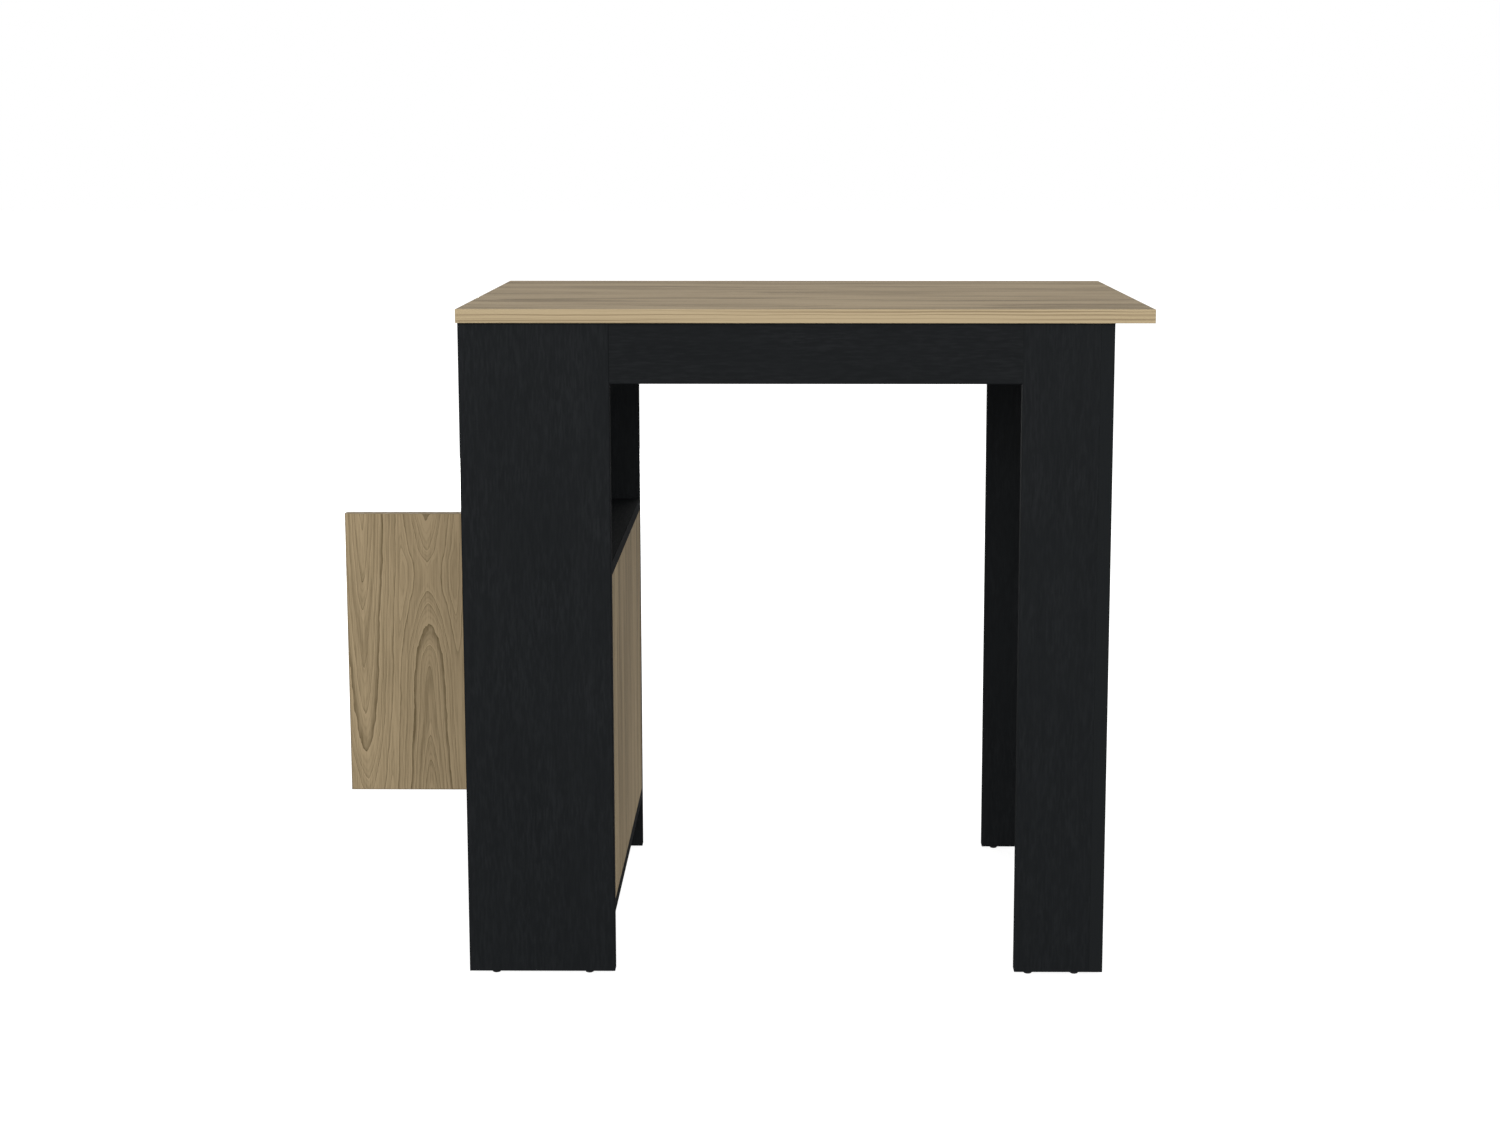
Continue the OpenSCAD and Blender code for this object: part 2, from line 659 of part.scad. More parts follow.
module door_band(k) {
    color(oak_edge) hung() difference() {
        block(strip(DOOR, DOOR_EDGES, k));
        for (w = HINGE_DOOR_SCREWS) screw_hole(w);
    }
}

module door_free_side_edge_band() {
    door_band(0);
}

module door_hinge_side_edge_band() {
    door_band(1);
}

module door_bottom_edge_band() {
    door_band(2);
}

module door_top_edge_band() {
    door_band(3);
}

// One leaf of a hinge, lying on the face y = face_y and reaching to side * leaf_t from it.
// It has the knuckles whose numbers are listed.
module hinge_leaf(zc, face_y, side, knuckles, screws) {
    count = 5;
    pitch = (hinge_h + knuckle_gap) / count;
    plate_x0 = hinge_x + knuckle_r + 2 * knuckle_gap;
    plate_x1 = tower_x0 + leaf_reach;
    plate_y0 = min(face_y, face_y + side * leaf_t);
    z0 = zc - hinge_h / 2;
    difference() {
        union() {
            block([[plate_x0, plate_y0, z0], [plate_x1, plate_y0 + leaf_t, z0 + hinge_h]]);
            for (k = knuckles) {
                translate([hinge_x, hinge_y, z0 + k * pitch]) cylinder(r = knuckle_r, h = pitch - knuckle_gap);
                block([[hinge_x, plate_y0, z0 + k * pitch],
                    [plate_x0, plate_y0 + leaf_t, z0 + (k + 1) * pitch - knuckle_gap]]);
            }
        }
        translate([hinge_x, hinge_y, z0 - cut]) cylinder(r = pin_r + pin_play, h = hinge_h + 2 * cut);
        for (w = screws) aimed(w[0], w[1]) translate([0, 0, -leaf_t])
            cylinder(r1 = wood_screw_head_r + fit_play, r2 = wood_screw_r + fit_play, h = leaf_t);
    }
}

module hinge_frame_leaf(i) {
    screws = [for (w = HINGE_FRAME_SCREWS) if (abs(w[0][2] - hinge_zs[i]) < hinge_h / 2) w];
    color(steel) placed() hinge_leaf(hinge_zs[i], back_y0, -1, [0, 2, 4], screws);
}

module hinge_door_leaf(i) {
    screws = [for (w = HINGE_DOOR_SCREWS) if (abs(w[0][2] - hinge_zs[i]) < hinge_h / 2) w];
    color(steel) hung() hinge_leaf(hinge_zs[i], door_y1, 1, [1, 3], screws);
}

module hinge_pin(i) {
    cap_h = 0.8;
    color(zinc) placed() translate([hinge_x, hinge_y, hinge_zs[i] - hinge_h / 2]) {
        translate([0, 0, -cap_h]) cylinder(r = pin_r, h = hinge_h + 2 * cap_h);
        for (z = [-cap_h, hinge_h]) translate([0, 0, z]) cylinder(r = knuckle_r - 0.3, h = cap_h);
    }
}

module upper_hinge_frame_leaf() {
    hinge_frame_leaf(1);
}

module upper_hinge_door_leaf() {
    hinge_door_leaf(1);
}

module upper_hinge_pin() {
    hinge_pin(1);
}

module lower_hinge_frame_leaf() {
    hinge_frame_leaf(0);
}

module lower_hinge_door_leaf() {
    hinge_door_leaf(0);
}

module lower_hinge_pin() {
    hinge_pin(0);
}

module hinge_frame_screws() {
    color(zinc) placed() for (w = HINGE_FRAME_SCREWS) aimed(w[0], w[1]) wood_screw(leaf_t, true);
}

module hinge_door_screws() {
    color(zinc) hung() for (w = HINGE_DOOR_SCREWS) aimed(w[0], w[1]) wood_screw(leaf_t, true);
}

module latch_housing() {
    color(grey_plastic) placed() difference() {
        union() {
            block([[latch_x0, latch_y - latch_h / 2, shelf_z0 - latch_h],
                [latch_x0 + latch_l, latch_y + latch_h / 2, shelf_z0]]);
            block([[latch_flange_x - latch_flange_l / 2, latch_y - latch_flange_w / 2, shelf_z0 - flange_t],
                [latch_flange_x + latch_flange_l / 2, latch_y + latch_flange_w / 2, shelf_z0]]);
        }
        translate([0, latch_y, latch_z]) {
            rod_x(latch_x0 - cut, latch_x0 + latch_rim_t + cut, plunger_r + plunger_play);
            rod_x(latch_x0 + latch_rim_t, latch_x0 + latch_l - latch_end_t, latch_bore_r);
        }
        for (w = LATCH_SCREWS) aimed(w[0], w[1]) translate([0, 0, -flange_t - cut])
            cylinder(r = wood_screw_r + fit_play, h = flange_t + 2 * cut);
    }
}

// A collar behind the housing's rim keeps the plunger in
module latch_plunger() {
    collar_x0 = latch_x0 + latch_rim_t + 2 * fit_play;
    color(dark_plastic) placed() translate([0, latch_y, latch_z]) difference() {
        union() {
            rod_x(plunger_x0, plunger_x0 + plunger_l, plunger_r);
            rod_x(collar_x0, collar_x0 + plunger_collar_t, latch_bore_r - plunger_play);
        }
        rod_x(plunger_x0 + plunger_l - spring_pocket_l, plunger_x0 + plunger_l + cut, spring_pocket_r);
    }
}

module latch_buffer() {
    color(black) placed() translate([0, latch_y, latch_z])
        rod_x(plunger_x0 - buffer_t, plunger_x0, buffer_r);
}

// Rings of the spring's wire, a round section turned with the helix
function spring_ring(i, x0, pitch) = let (a = 360 * i / spring_steps)
    [for (j = [0:spring_sides - 1]) let (b = 360 * j / spring_sides, r = spring_mean_r + spring_wire_r * cos(b))
        [x0 + pitch * i / spring_steps + spring_wire_r * sin(b), r * cos(a), r * sin(a)]];

module latch_spring() {
    x0 = plunger_x0 + plunger_l - spring_pocket_l + spring_wire_r + fit_play;
    x1 = latch_x0 + latch_l - latch_end_t - spring_wire_r - fit_play;
    pitch = (x1 - x0) / spring_turns;
    rings = spring_turns * spring_steps;
    points = [for (i = [0:rings]) each spring_ring(i, x0, pitch)];
    n = spring_sides;
    walls = [for (i = [0:rings - 1], j = [0:n - 1])
        let (a = i * n + j, b = i * n + (j + 1) % n) each [[a, b + n, b], [a, a + n, b + n]]];
    start_cap = [for (j = [1:n - 2]) [0, j, j + 1]];
    end_cap = [for (j = [1:n - 2]) [rings * n, rings * n + j + 1, rings * n + j]];
    color(steel) placed() translate([0, latch_y, latch_z])
        polyhedron(points, concat(walls, start_cap, end_cap));
}

module latch_screws() {
    pan_h = 1.8;
    color(zinc) placed() for (w = LATCH_SCREWS) aimed(w[0], w[1]) wood_screw(pan_h, false);
}

module cam_discs() {
    color(zinc) placed() for (c = CAMS) set_in(c[0], c[1], c[2]) cam_disc();
}

module cam_bolts() {
    color(steel) placed() for (c = CAMS) set_in(c[0], c[1], c[2]) cam_bolt();
}

// Dowels have a chamfer at both ends
module dowels() {
    chamfer = 1;
    color(beech) placed() for (w = DOWELS) aimed(w[0], w[1]) {
        translate([0, 0, chamfer - dowel_face_l])
            cylinder(r = dowel_r, h = dowel_face_l + dowel_edge_l - 2 * chamfer);
        translate([0, 0, -dowel_face_l]) cylinder(r1 = dowel_r - chamfer, r2 = dowel_r, h = chamfer);
        translate([0, 0, dowel_edge_l - chamfer]) cylinder(r1 = dowel_r, r2 = dowel_r - chamfer, h = chamfer);
    }
}

module confirmat_screws() {
    color(zinc) placed() for (w = CONFIRMATS) aimed(w[0], w[1]) confirmat();
}

// Half the section of a glide: a flat foot, a rounded rim and a straight wall up to the board
module glide_section() {
    intersection() {
        square([glide_r, glide_h]);
        union() {
            square([glide_r - glide_round, glide_h]);
            translate([0, glide_round]) square([glide_r, glide_h]);
            translate([glide_r - glide_round, glide_round]) circle(r = glide_round);
        }
    }
}

module floor_glides() {
    color(dark_plastic) placed() for (g = GLIDES) translate([g[0], g[1], 0]) difference() {
        rotate_extrude() glide_section();
        translate([0, 0, glide_h / 2 - fit_play]) cylinder(r = glide_nail_r + fit_play, h = glide_h);
    }
}

module glide_nails() {
    color(steel) placed() for (g = GLIDES) translate([g[0], g[1], glide_h / 2])
        cylinder(r = glide_nail_r, h = glide_h / 2 + glide_nail_l);
}

worktop();
worktop_front_edge_band();
worktop_back_edge_band();
worktop_left_edge_band();
worktop_right_edge_band();
tower_front_panel();
tower_front_panel_edge_bands();
tower_back_panel();
tower_back_panel_edge_bands();
tower_shelf();
tower_shelf_edge_bands();
cabinet_floor();
cabinet_floor_edge_bands();
cabinet_inner_side_panel();
cabinet_divider();
cabinet_divider_edge_band();
side_bay_shelf();
side_bay_shelf_edge_band();
cabinet_shelf();
cabinet_shelf_edge_band();
shelf_pins();
front_rail();
back_rail();
end_rail();
rail_edge_bands();
front_leg_face_board();
front_leg_side_board();
front_leg_edge_bands();
back_leg_face_board();
back_leg_side_board();
back_leg_edge_bands();
door_panel();
door_free_side_edge_band();
door_hinge_side_edge_band();
door_bottom_edge_band();
door_top_edge_band();
upper_hinge_frame_leaf();
upper_hinge_door_leaf();
upper_hinge_pin();
lower_hinge_frame_leaf();
lower_hinge_door_leaf();
lower_hinge_pin();
hinge_frame_screws();
hinge_door_screws();
latch_housing();
latch_plunger();
latch_buffer();
latch_spring();
latch_screws();
cam_discs();
cam_bolts();
dowels();
confirmat_screws();
floor_glides();
glide_nails();
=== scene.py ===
"""Looks of a kitchen island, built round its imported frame.

Black boards with an embossed grain carry an oak-print worktop. A cupboard tower with an inset oak door stands
at one end, and two corner legs stand at the other. Each board, edge band, fitting and moving piece is dressed
here. Lengths are metres, as in the frame, and grain is laid out in millimetres on the board.
"""

import logging
import math
from abc import ABC, abstractmethod
from dataclasses import dataclass, field, replace
from enum import Enum
from typing import Iterable, Optional, Sequence, Union

import bmesh
import bpy
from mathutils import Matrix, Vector

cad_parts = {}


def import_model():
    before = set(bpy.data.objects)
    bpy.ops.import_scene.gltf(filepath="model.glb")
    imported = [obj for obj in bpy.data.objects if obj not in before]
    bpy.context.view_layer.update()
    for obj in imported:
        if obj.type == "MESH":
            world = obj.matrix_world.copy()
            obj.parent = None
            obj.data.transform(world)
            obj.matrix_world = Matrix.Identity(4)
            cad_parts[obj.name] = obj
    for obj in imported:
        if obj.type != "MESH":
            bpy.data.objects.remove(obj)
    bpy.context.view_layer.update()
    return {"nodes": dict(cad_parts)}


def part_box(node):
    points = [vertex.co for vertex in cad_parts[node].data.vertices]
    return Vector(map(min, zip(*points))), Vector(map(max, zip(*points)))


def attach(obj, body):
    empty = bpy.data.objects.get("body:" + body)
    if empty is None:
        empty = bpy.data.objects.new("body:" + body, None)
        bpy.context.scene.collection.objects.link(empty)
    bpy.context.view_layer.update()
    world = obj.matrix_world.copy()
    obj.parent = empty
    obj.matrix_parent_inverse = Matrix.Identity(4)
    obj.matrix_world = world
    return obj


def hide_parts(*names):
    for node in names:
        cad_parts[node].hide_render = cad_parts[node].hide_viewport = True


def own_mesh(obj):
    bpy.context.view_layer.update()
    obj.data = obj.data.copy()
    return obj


MM = 0.001
TOUCH = 0.02 * MM
DOUBLES = MM / 1000
FLAT_ANGLE = math.radians(0.4)
SHARP_ANGLE = math.radians(40)
LOG = logging.getLogger("kitchen island")

Colour = tuple[float, float, float]
Point = tuple[float, float, float]
Plane = tuple[int, int]
Shape = bmesh.types.BMesh
Vertex = bmesh.types.BMVert
Edge = bmesh.types.BMEdge
Piece = bpy.types.Object
Socket = bpy.types.NodeSocket
Feed = Union[Socket, float, int, bool, str, tuple, bpy.types.Material]


class Way(Enum):
    """A direction of the frame, as the index of its coordinate."""

    X = 0
    Y = 1
    Z = 2

    @property
    def vector(self) -> Vector:
        """The unit vector of this direction."""
        return Vector([1.0 if i == self.value else 0.0 for i in range(3)])


class Body(Enum):
    """The bodies that move against each other."""

    CARCASE = "carcase"
    DOOR = "door"
    PLUNGER = "latch_plunger"


class Slot(Enum):
    """The record's material slots."""

    OAK = "oak_melamine"
    OAK_EDGE = "oak_edge_band"
    BLACK = "black_melamine"
    BLACK_EDGE = "black_edge_band"
    BEECH = "beech"
    STEEL = "plated_steel"
    ZINC = "zinc"
    GREY_PLASTIC = "grey_plastic"
    BLACK_PLASTIC = "black_plastic"
    RUBBER = "rubber"


@dataclass(frozen=True)
class Streaks:
    """A layer of noise that is drawn out along a grain.

    Attributes:
        width: width of a streak, in millimetres.
        length: its length, in millimetres.
        detail: how much finer detail it has.
        shift: a number that moves it against other layers of one seed.
    """

    width: float
    length: float
    detail: float = 2.0
    shift: float = 0.0


class Tree:
    """Adds nodes to one node tree and hands back their sockets."""

    def __init__(self, tree: bpy.types.NodeTree) -> None:
        """Keeps the tree that the nodes go into.

        Args:
            tree: the material's or modifier's node tree.
        """
        self.tree = tree

    def add(self, kind: str, feeds: Optional[dict] = None, **settings: object) -> bpy.types.Node:
        """Adds one node.

        Args:
            kind: the node's type name.
            feeds: what each input gets, by name or number, as a socket or a value.
            settings: the node's own properties.

        Returns:
            The new node.
        """
        node = self.tree.nodes.new(kind)
        for name, value in settings.items():
            setattr(node, name, value)
        self.fill(node, feeds or {})
        return node

    def fill(self, node: bpy.types.Node, feeds: dict) -> None:
        """Gives a node's inputs, by name or number, their sockets or values."""
        for key, value in feeds.items():
            self.feed(node.inputs[key], value)

    def feed(self, socket: Socket, value: Feed) -> None:
        """Links a socket to an input, or sets the input's own value.

        Args:
            socket: the input.
            value: the socket or the value that it gets.
        """
        if isinstance(value, Socket):
            self.tree.links.new(value, socket)
        else:
            socket.default_value = value

    def math(self, operation: str, *values: Feed, clamp: bool = False) -> Socket:
        """Adds a Math node.

        Args:
            operation: the node's operation.
            values: its inputs in order.
            clamp: whether the result is kept between 0 and 1.

        Returns:
            The result.
        """
        feeds = dict(enumerate(values))
        return self.add("ShaderNodeMath", feeds, operation=operation, use_clamp=clamp).outputs[0]

    def scaled(self, value: Feed, factor: float, offset: float = 0.0) -> Socket:
        """Returns value times factor plus offset."""
        return self.math("MULTIPLY_ADD", value, factor, offset)

    def plus(self, base: Feed, value: Feed, factor: float, offset: float = 0.0,
             clamp: bool = False) -> Socket:
        """Returns base plus value times factor plus offset, and keeps it between 0 and 1 if asked."""
        return self.math("ADD", base, self.scaled(value, factor, offset), clamp=clamp)

    def vector(self, x: Feed, y: Feed, z: Feed = 0.0) -> Socket:
        """Returns a vector of three numbers or sockets."""
        return self.add("ShaderNodeCombineXYZ", {0: x, 1: y, 2: z}).outputs[0]

    def place(self) -> list[Socket]:
        """Splits the Object coordinates.

        Returns:
            The three places in millimetres.
        """
        metres = self.add("ShaderNodeTexCoord").outputs["Object"]
        split = self.add("ShaderNodeSeparateXYZ", {0: metres})
        return [self.math("MULTIPLY", split.outputs[i], 1.0 / MM) for i in range(3)]

    def cells(self, size: float) -> Socket:
        """Returns the Object coordinates in cells of a size in millimetres."""
        return self.vector(*(self.scaled(way, 1 / size) for way in self.place()))

    def noise(self, vector: Feed, detail: float = 2.0, roughness: float = 0.5) -> Socket:
        """Returns smooth noise about 0.5 at a vector, with cells one unit wide."""
        feeds = {"Vector": vector, "Scale": 1.0, "Detail": detail, "Roughness": roughness}
        return self.add("ShaderNodeTexNoise", feeds).outputs[0]

    def streaks(self, layer: Streaks, across: Sequence[Feed], along: Feed,
                seed: Optional[float] = None) -> Socket:
        """Makes a layer of streaks.

        Args:
            layer: its sizes.
            across: the place across the grain in millimetres, or the two places of a solid grain.
            along: the place along the grain, in millimetres.
            seed: a number that moves the noise, where one place across is given.

        Returns:
            Smooth noise about 0.5.
        """
        spot = [self.scaled(place, 1 / layer.width) for place in across]
        spot.append(self.scaled(along, 1 / layer.length))
        if seed is not None:
            spot.append(seed + layer.shift)
        return self.noise(self.vector(*spot), layer.detail)

    def noise_line(self, place: Feed, detail: float = 1.0) -> Socket:
        """Returns smooth noise about 0.5 along one number."""
        feeds = {"W": place, "Scale": 1.0, "Detail": detail}
        return self.add("ShaderNodeTexNoise", feeds, noise_dimensions="1D").outputs[0]

    def chance(self, number: Feed) -> Socket:
        """Returns a random value from 0 to 1 for each whole number."""
        return self.add("ShaderNodeTexWhiteNoise", {"W": number}, noise_dimensions="1D").outputs[0]

    def spread(self, value: Feed, low: float, high: float, out_low: float = 0.0,
               out_high: float = 1.0) -> Socket:
        """Returns value moved from the range low to high into another range, and kept inside it."""
        feeds = {0: value, 1: low, 2: high, 3: out_low, 4: out_high}
        return self.add("ShaderNodeMapRange", feeds, clamp=True).outputs[0]

    def curve(self, value: Feed, points: Sequence[tuple[float, float]]) -> Socket:
        """Reads a smooth curve through points.

        Args:
            value: where the curve is read.
            points: pairs of place and height, in order of place, with heights of 0 or more.

        Returns:
            The curve's height there.
        """
        low, high = points[0][0], points[-1][0]
        reach = max(height for _, height in points)
        node = self.add("ShaderNodeFloatCurve", {"Value": self.spread(value, low, high)})
        line = node.mapping.curves[0].points
        line[0].location = (0.0, points[0][1] / reach)
        line[1].location = (1.0, points[-1][1] / reach)
        for place, height in points[1:-1]:
            line.new((place - low) / (high - low), height / reach)
        node.mapping.update()
        return self.math("MULTIPLY", node.outputs[0], reach)

    def blend(self, factor: Feed, first: Colour, second: Colour) -> Socket:
        """Returns the colour between two colours, which is the first at 0 and the second at 1."""
        feeds = {0: factor, 6: (*first, 1.0), 7: (*second, 1.0)}
        return self.add("ShaderNodeMix", feeds, data_type="RGBA").outputs[2]

    def bump(self, height: Feed, distance: float, strength: float = 1.0) -> Socket:
        """Returns a normal for a height from 0 to 1 that stands distance metres proud."""
        feeds = {"Strength": strength, "Distance": distance, "Height": height}
        return self.add("ShaderNodeBump", feeds).outputs[0]


def toned(colour: Colour, factor: float) -> Colour:
    """Returns a colour with its three parts times a factor."""
    return tuple(factor * part for part in colour)


@dataclass(frozen=True)
class Finish(ABC):
    """A surface finish.

    Attributes:
        name: the material's name.
        slot: the record's slot that a piece with this finish takes.
    """

    name: str
    slot: Slot

    def material(self) -> bpy.types.Material:
        """Makes the finish's material, or finds it where it was made before.

        Returns:
            The material.
        """
        found = bpy.data.materials.get(self.name)
        if found is not None:
            return found
        material = bpy.data.materials.new(self.name)
        material.use_nodes = True
        tree = Tree(material.node_tree)
        tree.fill(material.node_tree.nodes["Principled BSDF"], self.coat(tree))
        return material

    @abstractmethod
    def coat(self, tree: Tree) -> dict[str, Feed]:
        """Makes the nodes of the finish.

        Args:
            tree: the material's tree.

        Returns:
            What each input of the shader gets, by its name.
        """


@dataclass(frozen=True)
class LinedFinish(Finish):
    """A finish with lines along one way of a board or strip.

    Attributes:
        along: the way of its lines.
    """

    along: Way

    def laid(self, along: Way) -> "LinedFinish":
        """Returns this finish with its lines along another way."""
        return replace(self, name=f"{self.name} along {along.name}", along=along)

    def split(self, tree: Tree) -> tuple[list[Socket], Socket]:
        """Returns the two places across the lines and the place along them, in millimetres."""
        place = tree.place()
        return [place[way.value] for way in Way if way is not self.along], place[self.along.value]


@dataclass(frozen=True)
class Heart:
    """The heart line of one cathedral figure in an oak print.

    Attributes:
        centre: distance of the line from the board's low edge, in millimetres.
        depths: pairs of place along the grain and depth of the heart below the face, in millimetres. Rings
            point along the grain wherever the depth changes.
    """

    centre: float
    depths: tuple[tuple[float, float], ...]


@dataclass(frozen=True)
class OakPrint(Finish):
    """Oak-printed melamine, whose rings are level lines of the distance from a few heart lines.

    Attributes:
        across: the way across the grain.
        along: the way along the grain.
        low: the board's low edge across the grain, in millimetres.
        hearts: the heart lines of the figures.
        ring: distance between rings in millimetres.
        seed: a number that moves all the noise.
        light: colour between rings.
        dark: colour of the late wood.
        wave: how far the grain wanders, in millimetres.
        point: how pointed the figures are, from 1 for straight flanks to 2 for round ones.
        cloudy: strength of the slow changes of tone.
        streak: how long those changes are along the grain, in millimetres.
        meeting: how far two figures run into each other, in millimetres.
        late: strength of the dark late wood at the end of each ring.
        early: how much paler the wood after it is.
        lines: strength of the fine lines between the rings.
        drift: how the grain wanders.
        sway: its shorter swings.
        ruffle: its small unevenness.
        fibre: the long fibres.
        comb: the wider stripes of the fibres.
        pores: the open pores.
    """

    across: Way
    along: Way
    low: float
    hearts: tuple[Heart, ...]
    ring: float = 6.0
    seed: float = 0.0
    light: Colour = (0.317, 0.244, 0.146)
    dark: Colour = (0.111, 0.081, 0.042)
    wave: float = 12.0
    point: float = 1.6
    cloudy: float = 0.22
    streak: float = 190.0
    meeting: float = 14.0
    late: float = 0.9
    early: float = 0.16
    lines: float = 0.3
    drift: Streaks = Streaks(80.0, 240.0)
    sway: Streaks = Streaks(11.0, 48.0, shift=7.0)
    ruffle: Streaks = Streaks(8.0, 30.0, shift=9.0)
    fibre: Streaks = Streaks(1.1, 45.0, 3.0)
    comb: Streaks = Streaks(2.6, 130.0, 3.0)
    pores: Streaks = Streaks(0.55, 9.0, 1.0)

    def rings(self, tree: Tree, across: Feed, along: Feed) -> tuple[Socket, Socket, Socket]:
        """Measures the distance from the nearest heart in rings, and how clearly the rings show.

        Args:
            tree: the material's tree.
            across: place across the grain, in millimetres.
            along: place along the grain, in millimetres.

        Returns:
            The number of rings, with uneven widths, a number from 0 on a heart line to 1 far from it, and the
            strength of the rings, which fade where two figures meet.
        """
        drift, sway, ruffle = (tree.streaks(layer, (across,), along, self.seed)
                               for layer in (self.drift, self.sway, self.ruffle))
        bent = tree.plus(across, drift, self.wave, -self.wave / 2)
        bent = tree.plus(bent, sway, 4.0, -2.0)
        nearest = beside = meeting = None
        for heart in self.hearts:
            side = tree.math("ABSOLUTE", tree.math("SUBTRACT", bent, heart.centre))
            beside = side if beside is None else tree.math("MINIMUM", beside, side)
            depth = tree.curve(along, heart.depths)
            powers = [tree.math("POWER", reach, self.point) for reach in (side, depth)]
            distance = tree.math("POWER", tree.math("ADD", *powers), 1 / self.point)
            if nearest is None:
                nearest = distance
                continue
            apart = tree.math("ABSOLUTE", tree.math("SUBTRACT", nearest, distance))
            meeting = apart if meeting is None else tree.math("MINIMUM", meeting, apart)
            nearest = tree.math("SMOOTH_MIN", nearest, distance, self.meeting)
        uneven = tree.noise_line(tree.scaled(nearest, 1 / 17, self.seed), 2.0)
        turns = tree.plus(tree.scaled(nearest, 1 / self.ring), uneven, 2.4)
        square = tree.math("DIVIDE", beside, nearest, clamp=True)
        clear = tree.spread(meeting, 1.0, 11.0, 0.25, 1.0)
        return tree.plus(turns, ruffle, 0.24), square, clear

    def ring_shade(self, tree: Tree, turns: Socket, square: Socket, clear: Socket) -> Socket:
        """Shades the rings, from the pale early wood to the dark late wood of each.

        Args:
            tree: the material's tree.
            turns: the number of rings.
            square: 0 on a heart line, where rings lie flat and their late wood is thin, to 1 far from it.
            clear: how clearly the rings show.

        Returns:
            The shade.
        """
        phase = tree.math("FRACT", turns)
        width = tree.scaled(square, 0.17, 0.07)
        edge = tree.math("ADD", tree.math("SUBTRACT", phase, 1.0), width)
        edge = tree.math("DIVIDE", edge, width, clamp=True)
        late = tree.math("ADD", tree.scaled(edge, 0.66), tree.scaled(tree.spread(phase, 0.3, 1.0), 0.34))
        weight = tree.scaled(tree.chance(tree.math("FLOOR", turns)), 0.5, 0.5)
        weight = tree.math("MULTIPLY", weight, clear)
        early = tree.math("MULTIPLY", tree.spread(phase, 0.0, 0.22, 1.0, 0.0), weight)
        shade = tree.math("MULTIPLY", late, tree.scaled(weight, self.late))
        return tree.plus(shade, early, -self.early)

    def fine_lines(self, tree: Tree, turns: Socket, fibre: Socket) -> Socket:
        """Shades the fine lines between the rings, which the fibres break up.

        Args:
            tree: the material's tree.
            turns: the number of rings.
            fibre: the noise of the long fibres.

        Returns:
            The shade.
        """
        phase = tree.math("FRACT", tree.scaled(turns, 2.9))
        drawn = tree.curve(phase, ((0.0, 0.4), (0.5, 0.0), (0.85, 1.0), (1.0, 0.4)))
        return tree.math("MULTIPLY", drawn, tree.scaled(tree.spread(fibre, 0.3, 0.65, 0.1, 0.8), self.lines))

    def coat(self, tree: Tree) -> dict[str, Feed]:
        """Makes rings, fine lines, pores and slow changes of tone.

        Args:
            tree: the material's tree.

        Returns:
            What each input of the shader gets.
        """
        place = tree.place()
        across = tree.math("SUBTRACT", place[self.across.value], self.low)
        along = place[self.along.value]
        turns, square, clear = self.rings(tree, across, along)
        cloudy = Streaks(45.0, self.streak, shift=3.0)
        fibre, comb, open_wood, cloud = (tree.streaks(layer, (across,), along, self.seed)
                                         for layer in (self.fibre, self.comb, self.pores, cloudy))
        pores = tree.spread(open_wood, 0.6, 0.78)
        band = tree.noise_line(tree.scaled(turns, 0.55, self.seed), 1.0)
        shade = self.ring_shade(tree, turns, square, clear)
        shade = tree.math("ADD", shade, self.fine_lines(tree, turns, fibre))
        shade = tree.plus(shade, tree.spread(band, 0.3, 0.75), 0.3, -0.06)
        shade = tree.plus(shade, tree.spread(cloud, 0.3, 0.7), self.cloudy, -0.6 * self.cloudy)
        shade = tree.plus(shade, tree.spread(comb, 0.3, 0.7), 0.3, -0.13)
        shade = tree.plus(shade, tree.spread(fibre, 0.3, 0.7), 0.2, -0.1)
        shade = tree.plus(shade, pores, 0.16, clamp=True)
        relief = tree.plus(tree.scaled(fibre, 0.5), pores, -0.8)
        return {
            "Base Color": tree.blend(shade, self.light, self.dark),
            "Roughness": tree.scaled(pores, 0.12, 0.62),
            "Specular IOR Level": 0.06,
            "Normal": tree.bump(relief, 0.06 * MM, 0.5),
        }


@dataclass(frozen=True)
class OakBand(LinedFinish):
    """Printed oak edge band, with a few thin darker lines along the strip.

    Attributes:
        light: colour between the lines.
        dark: colour of the lines.
        lines: sizes of the lines.
        fibre: sizes of the fine fibres.
    """

    light: Colour = (0.318, 0.25, 0.15)
    dark: Colour = (0.18, 0.132, 0.075)
    lines: Streaks = Streaks(1.7, 700.0, 1.0)
    fibre: Streaks = Streaks(0.5, 30.0)

    def coat(self, tree: Tree) -> dict[str, Feed]:
        """Makes wavering lines and fine fibres.

        Args:
            tree: the material's tree.

        Returns:
            What each input of the shader gets.
        """
        others, along = self.split(tree)
        across = tree.math("ADD", *others)
        waver = tree.noise(tree.vector(tree.scaled(along, 1 / 95), tree.scaled(across, 1 / 30)), 1.0)
        lines = tree.streaks(self.lines, (tree.plus(across, waver, 2.2),), along)
        fibre = tree.streaks(self.fibre, (across,), along)
        shade = tree.plus(tree.spread(lines, 0.5, 0.68, 0.0, 0.95), fibre, 0.3, -0.1, clamp=True)
        return {
            "Base Color": tree.blend(shade, self.light, self.dark),
            "Roughness": tree.scaled(fibre, 0.15, 0.45),
            "Specular IOR Level": 0.12,
            "Normal": tree.bump(fibre, 0.04 * MM, 0.4),
        }


